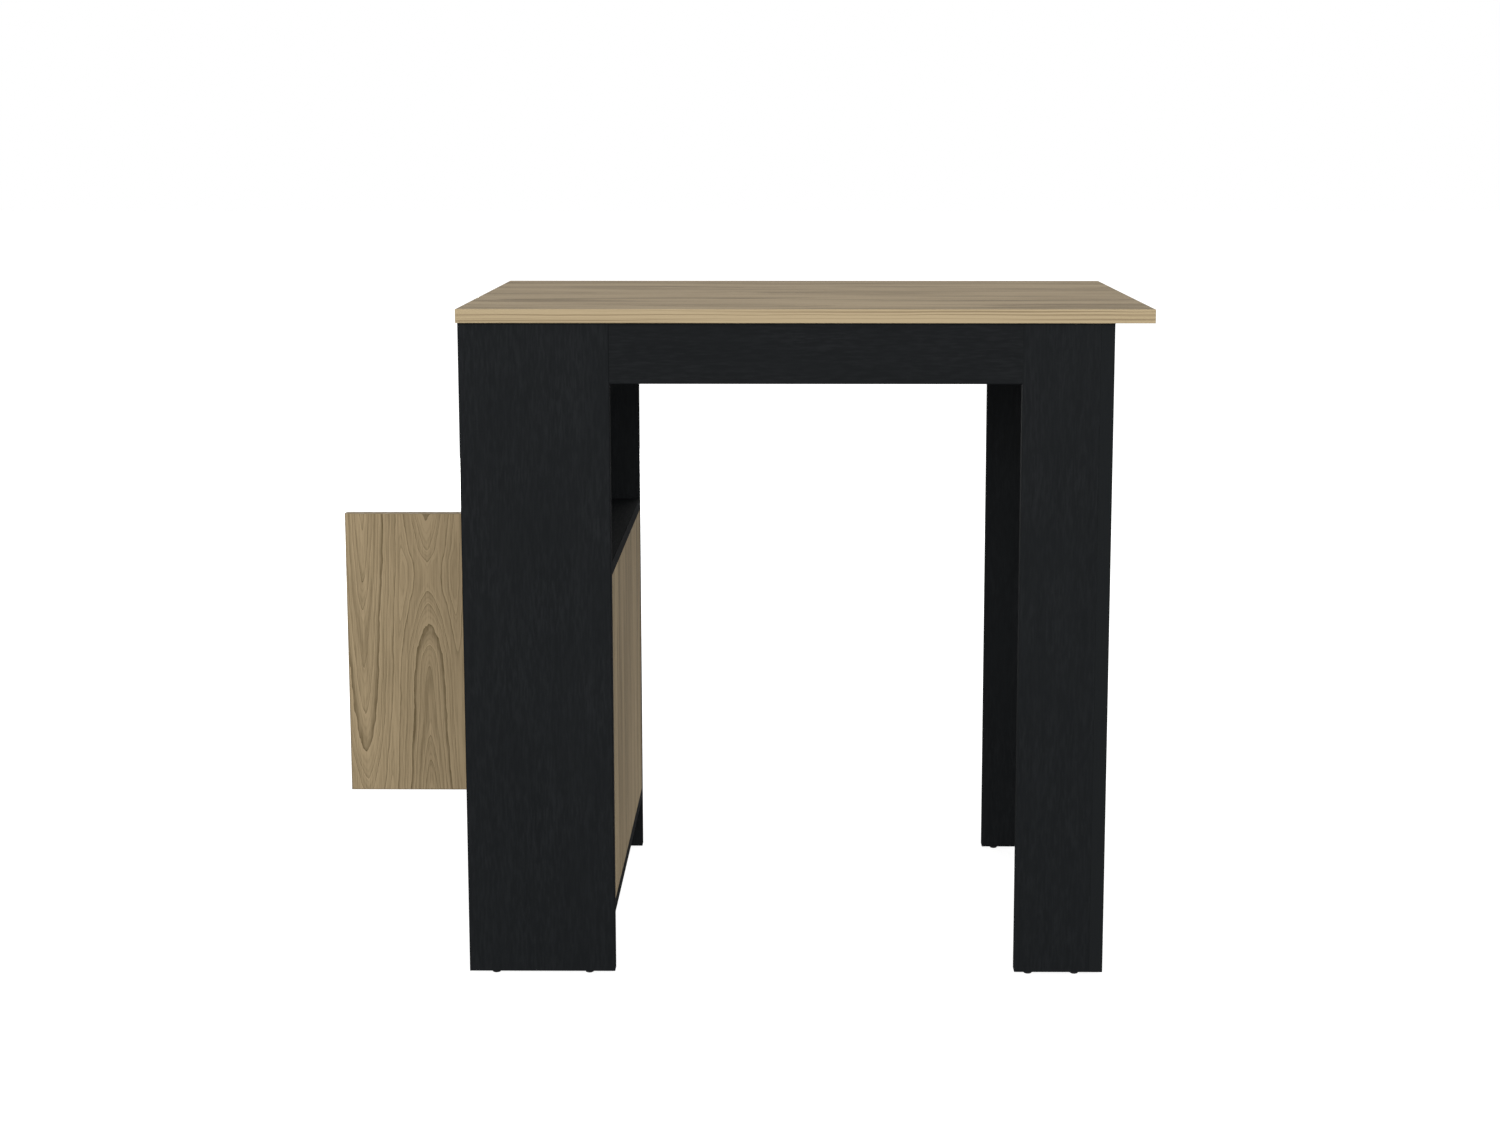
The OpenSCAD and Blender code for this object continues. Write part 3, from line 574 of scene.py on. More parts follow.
@dataclass(frozen=True)
class BlackPrint(LinedFinish):
    """Black melamine embossed with short wood pores.

    Attributes:
        ground: colour between the pores.
        pore_with_highlight: colour of the pores, painted lighter as a highlight where they catch the light.
        pores: sizes of the pores.
        grain: sizes of the slow grain under them.
        patches: sizes of the patches where the pores stand denser.
    """

    ground: Colour = (0.0048, 0.0056, 0.0063)
    pore_with_highlight: Colour = (0.0096, 0.0107, 0.0118)
    pores: Streaks = Streaks(2.2, 17.0)
    grain: Streaks = Streaks(9.0, 150.0, 3.0)
    patches: Streaks = Streaks(60.0, 90.0)

    def coat(self, tree: Tree) -> dict[str, Feed]:
        """Makes pores, painted lighter as a highlight, a slow grain and their relief.

        Args:
            tree: the material's tree.

        Returns:
            What each input of the shader gets.
        """
        across, along = self.split(tree)
        pores, grain, patches = (tree.streaks(layer, across, along)
                                 for layer in (self.pores, self.grain, self.patches))
        dense = tree.spread(patches, 0.35, 0.65, 0.5, 1.0)
        # The pores are painted lighter than the ground: a painted highlight where the embossed pores catch
        # the light.
        highlit_dash = tree.math("MULTIPLY", tree.spread(pores, 0.42, 0.68), dense)
        shade = tree.plus(tree.scaled(highlit_dash, 0.6), grain, 0.5, -0.1, clamp=True)
        return {
            "Base Color": tree.blend(shade, self.ground, self.pore_with_highlight),
            "Roughness": tree.scaled(highlit_dash, -0.08, 0.62),
            "Specular IOR Level": 0.05,
            "Normal": tree.bump(pores, 0.06 * MM, 0.6),
        }


@dataclass(frozen=True)
class BlackBand(LinedFinish):
    """Satin black edge band, with faint brushed lines along the strip.

    Attributes:
        colour: its colour.
        gloss: how much it shines.
        lines: sizes of the brushed lines.
    """

    colour: Colour = (0.0048, 0.0054, 0.006)
    gloss: float = 0.015
    lines: Streaks = Streaks(0.6, 40.0)

    def coat(self, tree: Tree) -> dict[str, Feed]:
        """Makes faint lines along the strip.

        Args:
            tree: the material's tree.

        Returns:
            What each input of the shader gets.
        """
        across, along = self.split(tree)
        lines = tree.streaks(self.lines, across, along)
        return {
            "Base Color": tree.blend(lines, self.colour, toned(self.colour, 1.5)),
            "Roughness": tree.scaled(lines, 0.2, 0.6),
            "Specular IOR Level": self.gloss,
            "Normal": tree.bump(lines, 0.03 * MM, 0.4),
        }


@dataclass(frozen=True)
class Chipboard(Finish):
    """Raw chipboard, seen on sawn edges and in drillings.

    Attributes:
        pale: colour of the pale flakes.
        brown: colour of the glue and the dark flakes.
        flake: size of a flake, in millimetres.
        dust: size of a grain of dust, in millimetres.
    """

    pale: Colour = (0.46, 0.33, 0.19)
    brown: Colour = (0.17, 0.10, 0.05)
    flake: float = 1.6
    dust: float = 0.7

    def coat(self, tree: Tree) -> dict[str, Feed]:
        """Makes flakes of uneven tone and rough relief.

        Args:
            tree: the material's tree.

        Returns:
            What each input of the shader gets.
        """
        feeds = {"Vector": tree.cells(self.flake), "Scale": 1.0, "Randomness": 1.0}
        flakes = tree.add("ShaderNodeTexVoronoi", feeds).outputs["Distance"]
        tone = tree.chance(tree.math("MULTIPLY", flakes, 40.0))
        dust = tree.noise(tree.cells(self.dust), 3.0, 0.7)
        mixed = tree.plus(tree.scaled(dust, 1.3, -0.35), tone, 0.15, clamp=True)
        return {
            "Base Color": tree.blend(mixed, self.pale, self.brown),
            "Roughness": 0.9,
            "Specular IOR Level": 0.2,
            "Normal": tree.bump(dust, 0.3 * MM, 0.8),
        }


@dataclass(frozen=True)
class Metal(Finish):
    """A plated or cast metal.

    Attributes:
        colour: its colour.
        roughness: its mean roughness.
        grain: size of its unevenness, in millimetres.
        relief: height of the unevenness.
    """

    colour: Colour
    roughness: float
    grain: float
    relief: float

    def coat(self, tree: Tree) -> dict[str, Feed]:
        """Makes an uneven gloss.

        Args:
            tree: the material's tree.

        Returns:
            What each input of the shader gets.
        """
        cast = tree.noise(tree.cells(self.grain), 3.0)
        return {
            "Base Color": tree.blend(cast, self.colour, toned(self.colour, 0.8)),
            "Roughness": tree.scaled(cast, 0.2, self.roughness - 0.1),
            "Metallic": 1.0,
            "Normal": tree.bump(cast, self.relief, 0.5),
        }


@dataclass(frozen=True)
class Moulded(Finish):
    """Moulded plastic or rubber with a fine spark-eroded texture.

    Attributes:
        colour: its colour.
        roughness: its mean roughness.
        grain: size of the texture, in millimetres.
    """

    colour: Colour
    roughness: float
    grain: float = 0.35

    def coat(self, tree: Tree) -> dict[str, Feed]:
        """Makes a fine texture.

        Args:
            tree: the material's tree.

        Returns:
            What each input of the shader gets.
        """
        texture = tree.noise(tree.cells(self.grain))
        return {
            "Base Color": tree.blend(texture, self.colour, toned(self.colour, 1.3)),
            "Roughness": tree.scaled(texture, 0.2, self.roughness - 0.1),
            "Specular IOR Level": 0.35,
            "Normal": tree.bump(texture, 0.04 * MM, 0.5),
        }


@dataclass(frozen=True)
class Beech(Finish):
    """Plain beech with short darker flecks.

    Attributes:
        wood: its colour.
        fleck: colour of the flecks.
        grain: size of the flecks, in millimetres.
    """

    wood: Colour = (0.52, 0.34, 0.19)
    fleck: Colour = (0.32, 0.19, 0.1)
    grain: float = 0.8

    def coat(self, tree: Tree) -> dict[str, Feed]:
        """Makes flecks.

        Args:
            tree: the material's tree.

        Returns:
            What each input of the shader gets.
        """
        flecks = tree.noise(tree.cells(self.grain), 3.0, 0.6)
        return {
            "Base Color": tree.blend(tree.spread(flecks, 0.4, 0.75), self.wood, self.fleck),
            "Roughness": 0.65,
            "Normal": tree.bump(flecks, 0.08 * MM, 0.5),
        }


CHIPBOARD = Chipboard("raw chipboard", Slot.BLACK)
PLATED_STEEL = Metal("nickel-plated steel", Slot.STEEL, (0.66, 0.65, 0.62), 0.3, 2.5, 0.01 * MM)
SCREW_STEEL = Metal("zinc-plated screws", Slot.ZINC, (0.6, 0.61, 0.62), 0.34, 1.5, 0.01 * MM)
CAST_ZINC = Metal("cast zinc", Slot.ZINC, (0.4, 0.41, 0.42), 0.48, 0.9, 0.03 * MM)
SPRING_STEEL = Metal("spring steel", Slot.STEEL, (0.5, 0.5, 0.5), 0.28, 1.0, 0.005 * MM)
BEECH = Beech("beech dowels", Slot.BEECH)
GREY_PLASTIC = Moulded("grey plastic", Slot.GREY_PLASTIC, (0.17, 0.175, 0.18), 0.5)
DARK_PLASTIC = Moulded("dark plastic", Slot.BLACK_PLASTIC, (0.012, 0.012, 0.013), 0.45)
RUBBER = Moulded("buffer rubber", Slot.RUBBER, (0.02, 0.02, 0.02), 0.8)
BLACK_BAND = BlackBand("black edge band", Slot.BLACK_EDGE, Way.Z)
LEG_BAND = BlackBand("black edge band of the legs", Slot.BLACK_EDGE, Way.Z, (0.0078, 0.0086, 0.0092), 0.0005)
BLACK_PRINT = BlackPrint("black print", Slot.BLACK, Way.Z)
# The rails' print is darker than the legs': painted shade from the worktop's overhang.
SHADED_RAIL_PRINT = BlackPrint("black print of the rails", Slot.BLACK, Way.X, (0.0042, 0.0049, 0.0055),
                        (0.0084, 0.0093, 0.0103))
WORKTOP_BAND = OakBand("oak edge band of the worktop", Slot.OAK_EDGE, Way.X)
# The door's bands are a darker copy of the oak band: painted shade for the dark line along the door's edges.
SHADED_DOOR_BAND = OakBand("oak edge band of the door", Slot.OAK_EDGE, Way.Z, (0.215, 0.166, 0.098),
                    (0.13, 0.095, 0.053))


@dataclass(frozen=True)
class Box:
    """The lowest and the highest corner of a board, band or fitting."""

    low: Vector
    high: Vector

    @classmethod
    def of_node(cls, node: str) -> "Box":
        """Returns the box round a CAD node."""
        return cls(*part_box(node))

    @classmethod
    def of_points(cls, points: Iterable[Vector]) -> "Box":
        """Makes the box round some points.

        Args:
            points: the points.

        Returns:
            The box.
        """
        listed = list(points)
        low = Vector([min(p[i] for p in listed) for i in range(3)])
        high = Vector([max(p[i] for p in listed) for i in range(3)])
        return cls(low, high)

    @property
    def middle(self) -> Vector:
        """The middle of the box."""
        return (self.low + self.high) / 2

    @property
    def extent(self) -> Vector:
        """The box's size along each way."""
        return self.high - self.low

    def longest(self) -> Way:
        """Returns the way of the longest side."""
        return max(Way, key=lambda way: self.extent[way.value])

    def thinnest(self) -> Way:
        """Returns the way of the shortest side."""
        return min(Way, key=lambda way: self.extent[way.value])

    def order(self) -> tuple[float, ...]:
        """Returns the rounded middle, by which solids are put in order."""
        return tuple(round(part, 5) for part in self.middle)

    def planes(self, point: Vector) -> set[Plane]:
        """Finds the box's planes that a point lies on.

        Args:
            point: the point.

        Returns:
            Pairs of the plane's way and its side, -1 for low and 1 for high.
        """
        found = set()
        for way in Way:
            for side, plane in ((-1, self.low), (1, self.high)):
                if abs(point[way.value] - plane[way.value]) < TOUCH:
                    found.add((way.value, side))
        return found


def merged(node: str) -> Shape:
    """Copies a CAD node's mesh, with its loose triangles merged and its flat faces joined.

    Args:
        node: the CAD node.

    Returns:
        The copy.
    """
    shape = bmesh.new()
    shape.from_mesh(bpy.data.objects[node].data)
    bmesh.ops.remove_doubles(shape, verts=shape.verts, dist=DOUBLES)
    bmesh.ops.dissolve_limit(shape, angle_limit=FLAT_ANGLE, verts=shape.verts, edges=shape.edges)
    return shape


def islands(shape: Shape) -> list[list[Vertex]]:
    """Sorts a mesh's vertices into its separate solids.

    Args:
        shape: the mesh.

    Returns:
        The vertices of each solid, with the solids in order of their place.
    """
    seen = set()
    found = []
    for start in shape.verts:
        if start in seen:
            continue
        seen.add(start)
        island = [start]
        for vertex in island:
            for edge in vertex.link_edges:
                other = edge.other_vert(vertex)
                if other not in seen:
                    seen.add(other)
                    island.append(other)
        found.append(island)
    return sorted(found, key=lambda island: Box.of_points(vertex.co for vertex in island).order())


def solids(node: str) -> list[tuple[Box, list[Vector]]]:
    """Lists the separate solids of a CAD node.

    Args:
        node: the CAD node.

    Returns:
        The box and the points of each solid.
    """
    shape = merged(node)
    found = [[vertex.co.copy() for vertex in island] for island in islands(shape)]
    shape.free()
    return [(Box.of_points(points), points) for points in found]


def box_edges(vertices: Iterable[Vertex], box: Box) -> dict[Edge, set[Plane]]:
    """Finds the edges along a box's twelve edges.

    Args:
        vertices: the vertices whose edges are looked at.
        box: the box.

    Returns:
        Each edge found, with the two planes that it lies on.
    """
    found = {}
    for vertex in vertices:
        for edge in vertex.link_edges:
            shared = box.planes(edge.verts[0].co) & box.planes(edge.verts[1].co)
            if len(shared) == 2:
                found[edge] = shared
    return found


def soften(shape: Shape, edges: Iterable[Edge], width: float, segments: int) -> None:
    """Rounds or chamfers edges.

    Args:
        shape: the mesh.
        edges: its edges that are softened.
        width: how far the rounding reaches from each edge.
        segments: 1 for a chamfer, and more for a rounding.
    """
    bmesh.ops.bevel(shape, geom=list(edges), offset=width, offset_type="OFFSET", segments=segments,
                    profile=0.5, affect="EDGES", clamp_overlap=True)


def placed(name: str, shape: Shape, finishes: Sequence[Finish], smooth: Optional[float] = None) -> Piece:
    """Makes an object of a mesh.

    Args:
        name: the object's name.
        shape: its mesh, which is freed.
        finishes: a finish for each material index.
        smooth: the angle in degrees below which edges are shaded smooth, or nothing for flat faces.

    Returns:
        The object, at the origin.
    """
    mesh = bpy.data.meshes.new(name)
    shape.to_mesh(mesh)
    shape.free()
    for finish in finishes:
        mesh.materials.append(finish.material())
    piece = bpy.data.objects.new(name, mesh)
    bpy.context.scene.collection.objects.link(piece)
    if smooth is not None:
        mesh.shade_smooth()
        mesh.set_sharp_from_angle(angle=math.radians(smooth))
    return piece


def handed_over(piece: Piece, body: Body, slot: Slot, *nodes: str) -> None:
    """Lets a piece stand for CAD nodes and move with their body.

    Args:
        piece: the finished object.
        body: the body that it moves with.
        slot: the record's slot of its finish; not used.
        nodes: the nodes that it stands for.
    """
    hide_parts(*nodes)
    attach(piece, body.value)
    LOG.info("%s: %d faces, rides on %s", piece.name, len(piece.data.polygons), body.value)


def evaluated(piece: Piece) -> None:
    """Turns what an object's modifiers make into its own plain mesh.

    Args:
        piece: the object, which loses its modifiers.
    """
    graph = bpy.context.evaluated_depsgraph_get()
    final = piece.evaluated_get(graph)
    mesh = bpy.data.meshes.new_from_object(final, preserve_all_data_layers=True, depsgraph=graph)
    piece.modifiers.clear()
    piece.data = mesh


@dataclass(frozen=True)
class Board:
    """One board: printed faces, and raw chipboard on its sawn edges and in its drillings.

    Attributes:
        node: the CAD node.
        finish: the print on its two faces.
        body: the body that it moves with.
        seam: width of the chamfer where its edges meet their bands.
    """

    node: str
    finish: Finish
    body: Body = Body.CARCASE
    seam: float = 0.08 * MM

    @classmethod
    def lined(cls, node: str, finish: LinedFinish) -> "Board":
        """Returns a board whose lines run along its longest side."""
        return cls(node, finish.laid(Box.of_node(node).longest()))

    def build(self) -> None:
        """Finishes the board's piece."""
        box = Box.of_node(self.node)
        shape = merged(self.node)
        soften(shape, box_edges(shape.verts, box), self.seam, 1)
        thin = box.thinnest().value
        for face in shape.faces:
            depth = min(abs(face.calc_center_median()[thin] - plane[thin]) for plane in (box.low, box.high))
            flat = abs(face.normal[thin]) > 0.5
            face.material_index = 0 if flat and depth < self.seam else 1
        piece = placed(f"{self.node}_board", shape, (self.finish, CHIPBOARD))
        handed_over(piece, self.body, self.finish.slot, self.node)


@dataclass(frozen=True)
class Banding:
    """The edge bands of one board.

    Attributes:
        nodes: the CAD nodes of the bands.
        board: the CAD node of the board.
        band: their finish, with its lines along any strip.
        body: the body that they move with.
        arris: radius of the bands' outer edges.
        seam: width of the chamfer where they meet the board.
        facets: number of facets of an arris.
    """

    nodes: tuple[str, ...]
    board: str
    band: LinedFinish = BLACK_BAND
    body: Body = Body.CARCASE
    arris: float = 0.35 * MM
    seam: float = 0.06 * MM
    facets: int = 3

    def soften_strip(self, shape: Shape, strip: Box, vertices: list[Vertex], middle: Vector) -> None:
        """Rounds a strip's outer edges and chamfers the seam behind them.

        Args:
            shape: the mesh of the bands.
            strip: the strip's box.
            vertices: its vertices.
            middle: the middle of the board.
        """
        thin = strip.thinnest().value
        side = 1 if strip.middle[thin] > middle[thin] else -1
        edges = box_edges(vertices, strip)
        seam = [edge for edge, planes in edges.items() if (thin, -side) in planes]
        outer = [edge for edge, planes in edges.items() if (thin, side) in planes]
        soften(shape, seam, self.seam, 1)
        soften(shape, [edge for edge in outer if edge.is_valid], self.arris, self.facets)

    def build(self) -> None:
        """Finishes the piece of each node."""
        middle = Box.of_node(self.board).middle
        for node in self.nodes:
            shape = merged(node)
            strips = [(Box.of_points(vertex.co for vertex in island), island) for island in islands(shape)]
            finishes = []
            for box, island in strips:
                finish = self.band.laid(box.longest())
                if finish not in finishes:
                    finishes.append(finish)
                for face in {face for vertex in island for face in vertex.link_faces}:
                    face.material_index = finishes.index(finish)
            for box, island in strips:
                self.soften_strip(shape, box, [vertex for vertex in island if vertex.is_valid], middle)
            piece = placed(f"{node}_strip", shape, finishes)
            handed_over(piece, self.body, self.band.slot, node)


@dataclass(frozen=True)
class Casting:
    """A single rigid piece of metal or plastic whose edges are softened.

    Attributes:
        node: the CAD node.
        finish: its finish.
        body: the body that it moves with.
        round: width of the rounding on its sharp edges.
        segments: number of facets of the rounding.
        smooth: the angle in degrees below which its edges are shaded smooth.
    """

    node: str
    finish: Finish
    body: Body = Body.CARCASE
    round: float = 0.12 * MM
    segments: int = 2
    smooth: float = 28.0

    def build(self) -> None:
        """Finishes the piece."""
        shape = merged(self.node)
        sharp = [edge for edge in shape.edges
                 if len(edge.link_faces) == 2 and edge.calc_face_angle() > SHARP_ANGLE]
        soften(shape, sharp, self.round, self.segments)
        piece = placed(f"{self.node}_casting", shape, (self.finish,), self.smooth)
        handed_over(piece, self.body, self.finish.slot, self.node)


@dataclass(frozen=True)
class Ring:
    """One ring of a turned shape.

    Attributes:
        name: what the ring is, which names its inputs.
        radius: its radius.
        height: its place along the axis.
    """

    name: str
    radius: float
    height: float


@dataclass(frozen=True)
class Thread:
    """A thread wound on a turned shape.

    Attributes:
        radius: radius that the thread is wound at.
        start: where it starts along the axis.
        length: how far it climbs.
        pitch: how far one turn climbs.
        wire: radius of its three-sided section.
        facets: number of sides of one turn, and of the section.
    """

    radius: float
    start: float
    length: float
    pitch: float
    wire: float
    facets: tuple[int, int] = (14, 3)


@dataclass(frozen=True)
class Recess:
    """A cross recess for a screwdriver.

    Attributes:
        length: length of its arms from end to end.
        width: width of its arms.
        top: place of the face that it is cut into.
        depth: how deep it is.
    """

    length: float
    width: float
    top: float
    depth: float


@dataclass(frozen=True)
class Bore:
    """A round hole cut from the axis outwards, or along the axis.

    Attributes:
        radius: its radius.
        height: where it crosses the axis, or where it starts.
        length: how long it is.
        sideways: whether it runs sideways.
    """

    radius: float
    height: float
    length: float
    sideways: bool


@dataclass(frozen=True)
class Seat:
    """Where one fitting sits.

    Attributes:
        base: the middle of its lowest ring.
        axis: the way that it points.
        side: a second way, square to the axis.
    """

    base: Vector
    axis: Vector
    side: Vector


def headed_seats(node: str) -> list[Seat]:
    """Works out where long fittings sit, from the end with the more vertices, such as the head.

    Args:
        node: the CAD node of the fittings.

    Returns:
        A seat for each fitting.
    """
    found = []
    for box, points in solids(node):
        way = box.longest()
        mean = sum(point[way.value] for point in points) / len(points)
        axis = way.vector if mean < box.middle[way.value] else -way.vector
        base = box.middle - axis * box.extent[way.value] / 2
        found.append(Seat(base, axis, Way((way.value + 1) % 3).vector))
    return found


def standing_seats(node: str) -> list[Seat]:
    """Works out where fittings sit that all point up.

    Args:
        node: the CAD node of the fittings.

    Returns:
        A seat for each fitting.
    """
    found = []
    for box, _ in solids(node):
        base = Vector((box.middle.x, box.middle.y, box.low.z))
        found.append(Seat(base, Way.Z.vector, Way.X.vector))
    return found


class FittingTree:
    """A Geometry Nodes tree that makes one fitting and sets a copy of it on each point."""

    def __init__(self, name: str) -> None:
        """Starts the tree.

        Args:
            name: the tree's name.
        """
        self.group = bpy.data.node_groups.new(name, "GeometryNodeTree")
        self.group.interface.new_socket("Geometry", in_out="OUTPUT", socket_type="NodeSocketGeometry")
        self.group.interface.new_socket("Points", in_out="INPUT", socket_type="NodeSocketGeometry")
        self.tree = Tree(self.group)
        self.source = self.tree.add("NodeGroupInput")
        self.values: dict[str, Feed] = {}

    def input(self, name: str, value: Feed, kind: str = "NodeSocketFloat") -> Socket:
        """Adds a named input.

        Args:
            name: the input's name.
            value: what the modifier gives it.
            kind: the socket's type.

        Returns:
            The input's socket inside the tree.
        """
        socket = self.group.interface.new_socket(name, in_out="INPUT", socket_type=kind)
        self.values[socket.identifier] = value
        return self.source.outputs[name]

    def turned(self, rings: Sequence[Ring], sides: int) -> Socket:
        """Turns a closed shape through rings, from the lowest to the highest.

        Args:
            rings: the rings.
            sides: the number of sides round the axis.

        Returns:
            The mesh.
        """
        tree = self.tree
        count = self.input("Sides", sides, "NodeSocketInt")
        radii = [self.input(f"{ring.name} radius", ring.radius) for ring in rings]
        heights = [self.input(f"{ring.name} height", ring.height) for ring in rings]
        disc = tree.add("GeometryNodeMeshCircle", {"Vertices": count, "Radius": radii[0]}, fill_type="NGON")
        lift = {"Geometry": disc.outputs[0], "Translation": tree.vector(0.0, 0.0, heights[0])}
        base = tree.add("GeometryNodeTransform", lift).outputs[0]
        shell: Socket = base
        top: Feed = True
        for i in range(1, len(rings)):
            climb = tree.vector(0.0, 0.0, tree.math("SUBTRACT", heights[i], heights[i - 1]))
            feeds = {"Mesh": shell, "Selection": top, "Offset": climb, "Offset Scale": 1.0,
                     "Individual": False}
            grown = tree.add("GeometryNodeExtrudeMesh", feeds, mode="FACES")
            top = grown.outputs["Top"]
            ratio = tree.math("DIVIDE", radii[i], radii[i - 1])
            feeds = {"Geometry": grown.outputs["Mesh"], "Selection": top, "Scale": ratio}
            shell = tree.add("GeometryNodeScaleElements", feeds, domain="FACE").outputs[0]
        cap = tree.add("GeometryNodeFlipFaces", {"Mesh": base}).outputs[0]
        return self.joined(shell, cap, merge=True)

    def joined(self, *parts: Socket, merge: bool = False) -> Socket:
        """Joins meshes.

        Args:
            parts: the meshes.
            merge: whether their doubles are merged.

        Returns:
            The joined mesh.
        """
        join = self.tree.add("GeometryNodeJoinGeometry")
        for part in parts:
            self.tree.feed(join.inputs[0], part)
        if not merge:
            return join.outputs[0]
        feeds = {"Geometry": join.outputs[0], "Distance": DOUBLES}
        return self.tree.add("GeometryNodeMergeByDistance", feeds).outputs[0]

    def wound(self, radius: Socket, length: Socket, turns: Socket, wire: Socket,
              facets: tuple[int, int], reverse: bool) -> Socket:
        """Winds a wire on a cylinder.

        Args:
            radius: radius that it is wound at.
            length: how far it climbs.
            turns: the number of its turns.
            wire: radius of the wire.
            facets: number of sides of one turn, and of the wire's section.
            reverse: whether it is wound as a thread is.

        Returns:
            The wire's mesh.
        """
        tree = self.tree
        feeds = {"Resolution": facets[0], "Rotations": turns, "Start Radius": radius, "End Radius": radius,
                 "Height": length, "Reverse": reverse}
        path = tree.add("GeometryNodeCurveSpiral", feeds).outputs[0]
        section = {"Resolution": facets[1], "Radius": wire}
        profile = tree.add("GeometryNodeCurvePrimitiveCircle", section).outputs[0]
        feeds = {"Curve": path, "Profile Curve": profile, "Fill Caps": True}
        return tree.add("GeometryNodeCurveToMesh", feeds).outputs[0]

    def threaded(self, thread: Thread) -> Socket:
        """Makes a thread.

        Args:
            thread: its sizes.

        Returns:
            The thread's mesh.
        """
        length = self.input("Thread length", thread.length)
        pitch = self.input("Thread pitch", thread.pitch)
        radius = self.input("Thread radius", thread.radius)
        wire = self.input("Thread section", thread.wire)
        turns = self.tree.math("DIVIDE", length, pitch)
        ridge = self.wound(radius, length, turns, wire, thread.facets, True)
        start = self.input("Thread start", thread.start)
        lift = {"Geometry": ridge, "Translation": self.tree.vector(0.0, 0.0, start)}
        return self.tree.add("GeometryNodeTransform", lift).outputs[0]

    def cut(self, mesh: Socket, cutters: Sequence[Socket]) -> Socket:
        """Cuts a mesh.

        Args:
            mesh: the mesh.
            cutters: what is taken out of it.

        Returns:
            The mesh less its cutters.
        """
        feeds = {"Mesh 1": mesh}
        node = self.tree.add("GeometryNodeMeshBoolean", feeds, operation="DIFFERENCE", solver="EXACT")
        for cutter in cutters:
            self.tree.feed(node.inputs["Mesh 2"], cutter)
        return node.outputs[0]

    def arms(self, recess: Recess) -> list[Socket]:
        """Makes the cutters of a cross recess.

        Args:
            recess: its sizes.

        Returns:
            Its two bars, half of which stand out of the face.
        """
        tree = self.tree
        length = self.input("Recess length", recess.length)
        width = self.input("Recess width", recess.width)
        depth = self.input("Recess depth", 2 * recess.depth)
        bars = []
        for size in (tree.vector(length, width, depth), tree.vector(width, length, depth)):
            cube = tree.add("GeometryNodeMeshCube", {"Size": size}).outputs[0]
            lift = {"Geometry": cube, "Translation": (0.0, 0.0, recess.top)}
            bars.append(tree.add("GeometryNodeTransform", lift).outputs[0])
        return bars

    def drill(self, bore: Bore, name: str) -> Socket:
        """Makes the cutter of a bore.

        Args:
            bore: its sizes.
            name: what its inputs are named after.

        Returns:
            The cutter.
        """
        tree = self.tree
        feeds = {"Vertices": 24, "Radius": self.input(f"{name} radius", bore.radius),
                 "Depth": self.input(f"{name} length", bore.length)}
        rod = tree.add("GeometryNodeMeshCylinder", feeds).outputs[0]
        if bore.sideways:
            move = {"Translation": (bore.length / 2, 0.0, bore.height), "Rotation": (0.0, math.pi / 2, 0.0)}
        else:
            move = {"Translation": (0.0, 0.0, bore.height + bore.length / 2)}
        return tree.add("GeometryNodeTransform", {"Geometry": rod, **move}).outputs[0]

    def fluted(self, mesh: Socket, count: int, depth: float) -> Socket:
        """Presses flutes into a turned mesh.

        Args:
            mesh: the turned mesh.
            count: the number of flutes.
            depth: how deep they are, as a share of the radius.

        Returns:
            The fluted mesh.
        """
        tree = self.tree
        spot = tree.add("ShaderNodeSeparateXYZ", {0: tree.add("GeometryNodeInputPosition").outputs[0]})
        angle = tree.math("ARCTAN2", spot.outputs[1], spot.outputs[0])
        turns = self.input("Flutes", count)
        wave = tree.math("COSINE", tree.math("MULTIPLY", angle, turns))
        share = tree.math("MULTIPLY", tree.scaled(wave, 0.5, 0.5), self.input("Flute depth", depth))
        pressed = tree.math("SUBTRACT", 1.0, share)
        x = tree.math("MULTIPLY", spot.outputs[0], pressed)
        y = tree.math("MULTIPLY", spot.outputs[1], pressed)
        feeds = {"Geometry": mesh, "Position": tree.vector(x, y, spot.outputs[2])}
        return tree.add("GeometryNodeSetPosition", feeds).outputs[0]

    def way(self, name: str) -> Socket:
        """Returns the points' own vector of that name."""
        feeds = {"Name": name}
        return self.tree.add("GeometryNodeInputNamedAttribute", feeds, data_type="FLOAT_VECTOR").outputs[0]

    def set_out(self, fitting: Socket, finish: Finish, turn: float, seed: int) -> None:
        """Sets the fitting on the points, dresses it and ends the tree.

        Args:
            fitting: the mesh of one fitting.
            finish: its finish.
            turn: how far each copy may be turned about its axis, in radians.
            seed: the seed of those turns.
        """
        tree = self.tree
        ways = {0: self.way("axis"), 1: self.way("side")}
        rotation = tree.add("FunctionNodeAxesToRotation", ways, primary_axis="Z",
                            secondary_axis="X").outputs[0]
        chance = {2: 0.0, 3: self.input("Turn", turn), 8: self.input("Seed", seed, "NodeSocketInt")}
        angle = tree.add("FunctionNodeRandomValue", chance, data_type="FLOAT").outputs[1]
        spin = {"Axis": (0.0, 0.0, 1.0), "Angle": angle}
        local = tree.add("FunctionNodeAxisAngleToRotation", spin).outputs[0]
        feeds = {"Rotation": rotation, "Rotate By": local}
        turned = tree.add("FunctionNodeRotateRotation", feeds, rotation_space="LOCAL").outputs[0]
        feeds = {"Points": self.source.outputs["Points"], "Instance": fitting, "Rotation": turned}
        copies = tree.add("GeometryNodeInstanceOnPoints", feeds).outputs[0]
        real = tree.add("GeometryNodeRealizeInstances", {0: copies}).outputs[0]
        coat = self.input("Finish", finish.material(), "NodeSocketMaterial")
        dressed = tree.add("GeometryNodeSetMaterial", {"Geometry": real, "Material": coat}).outputs[0]
        tree.add("NodeGroupOutput", {0: dressed})

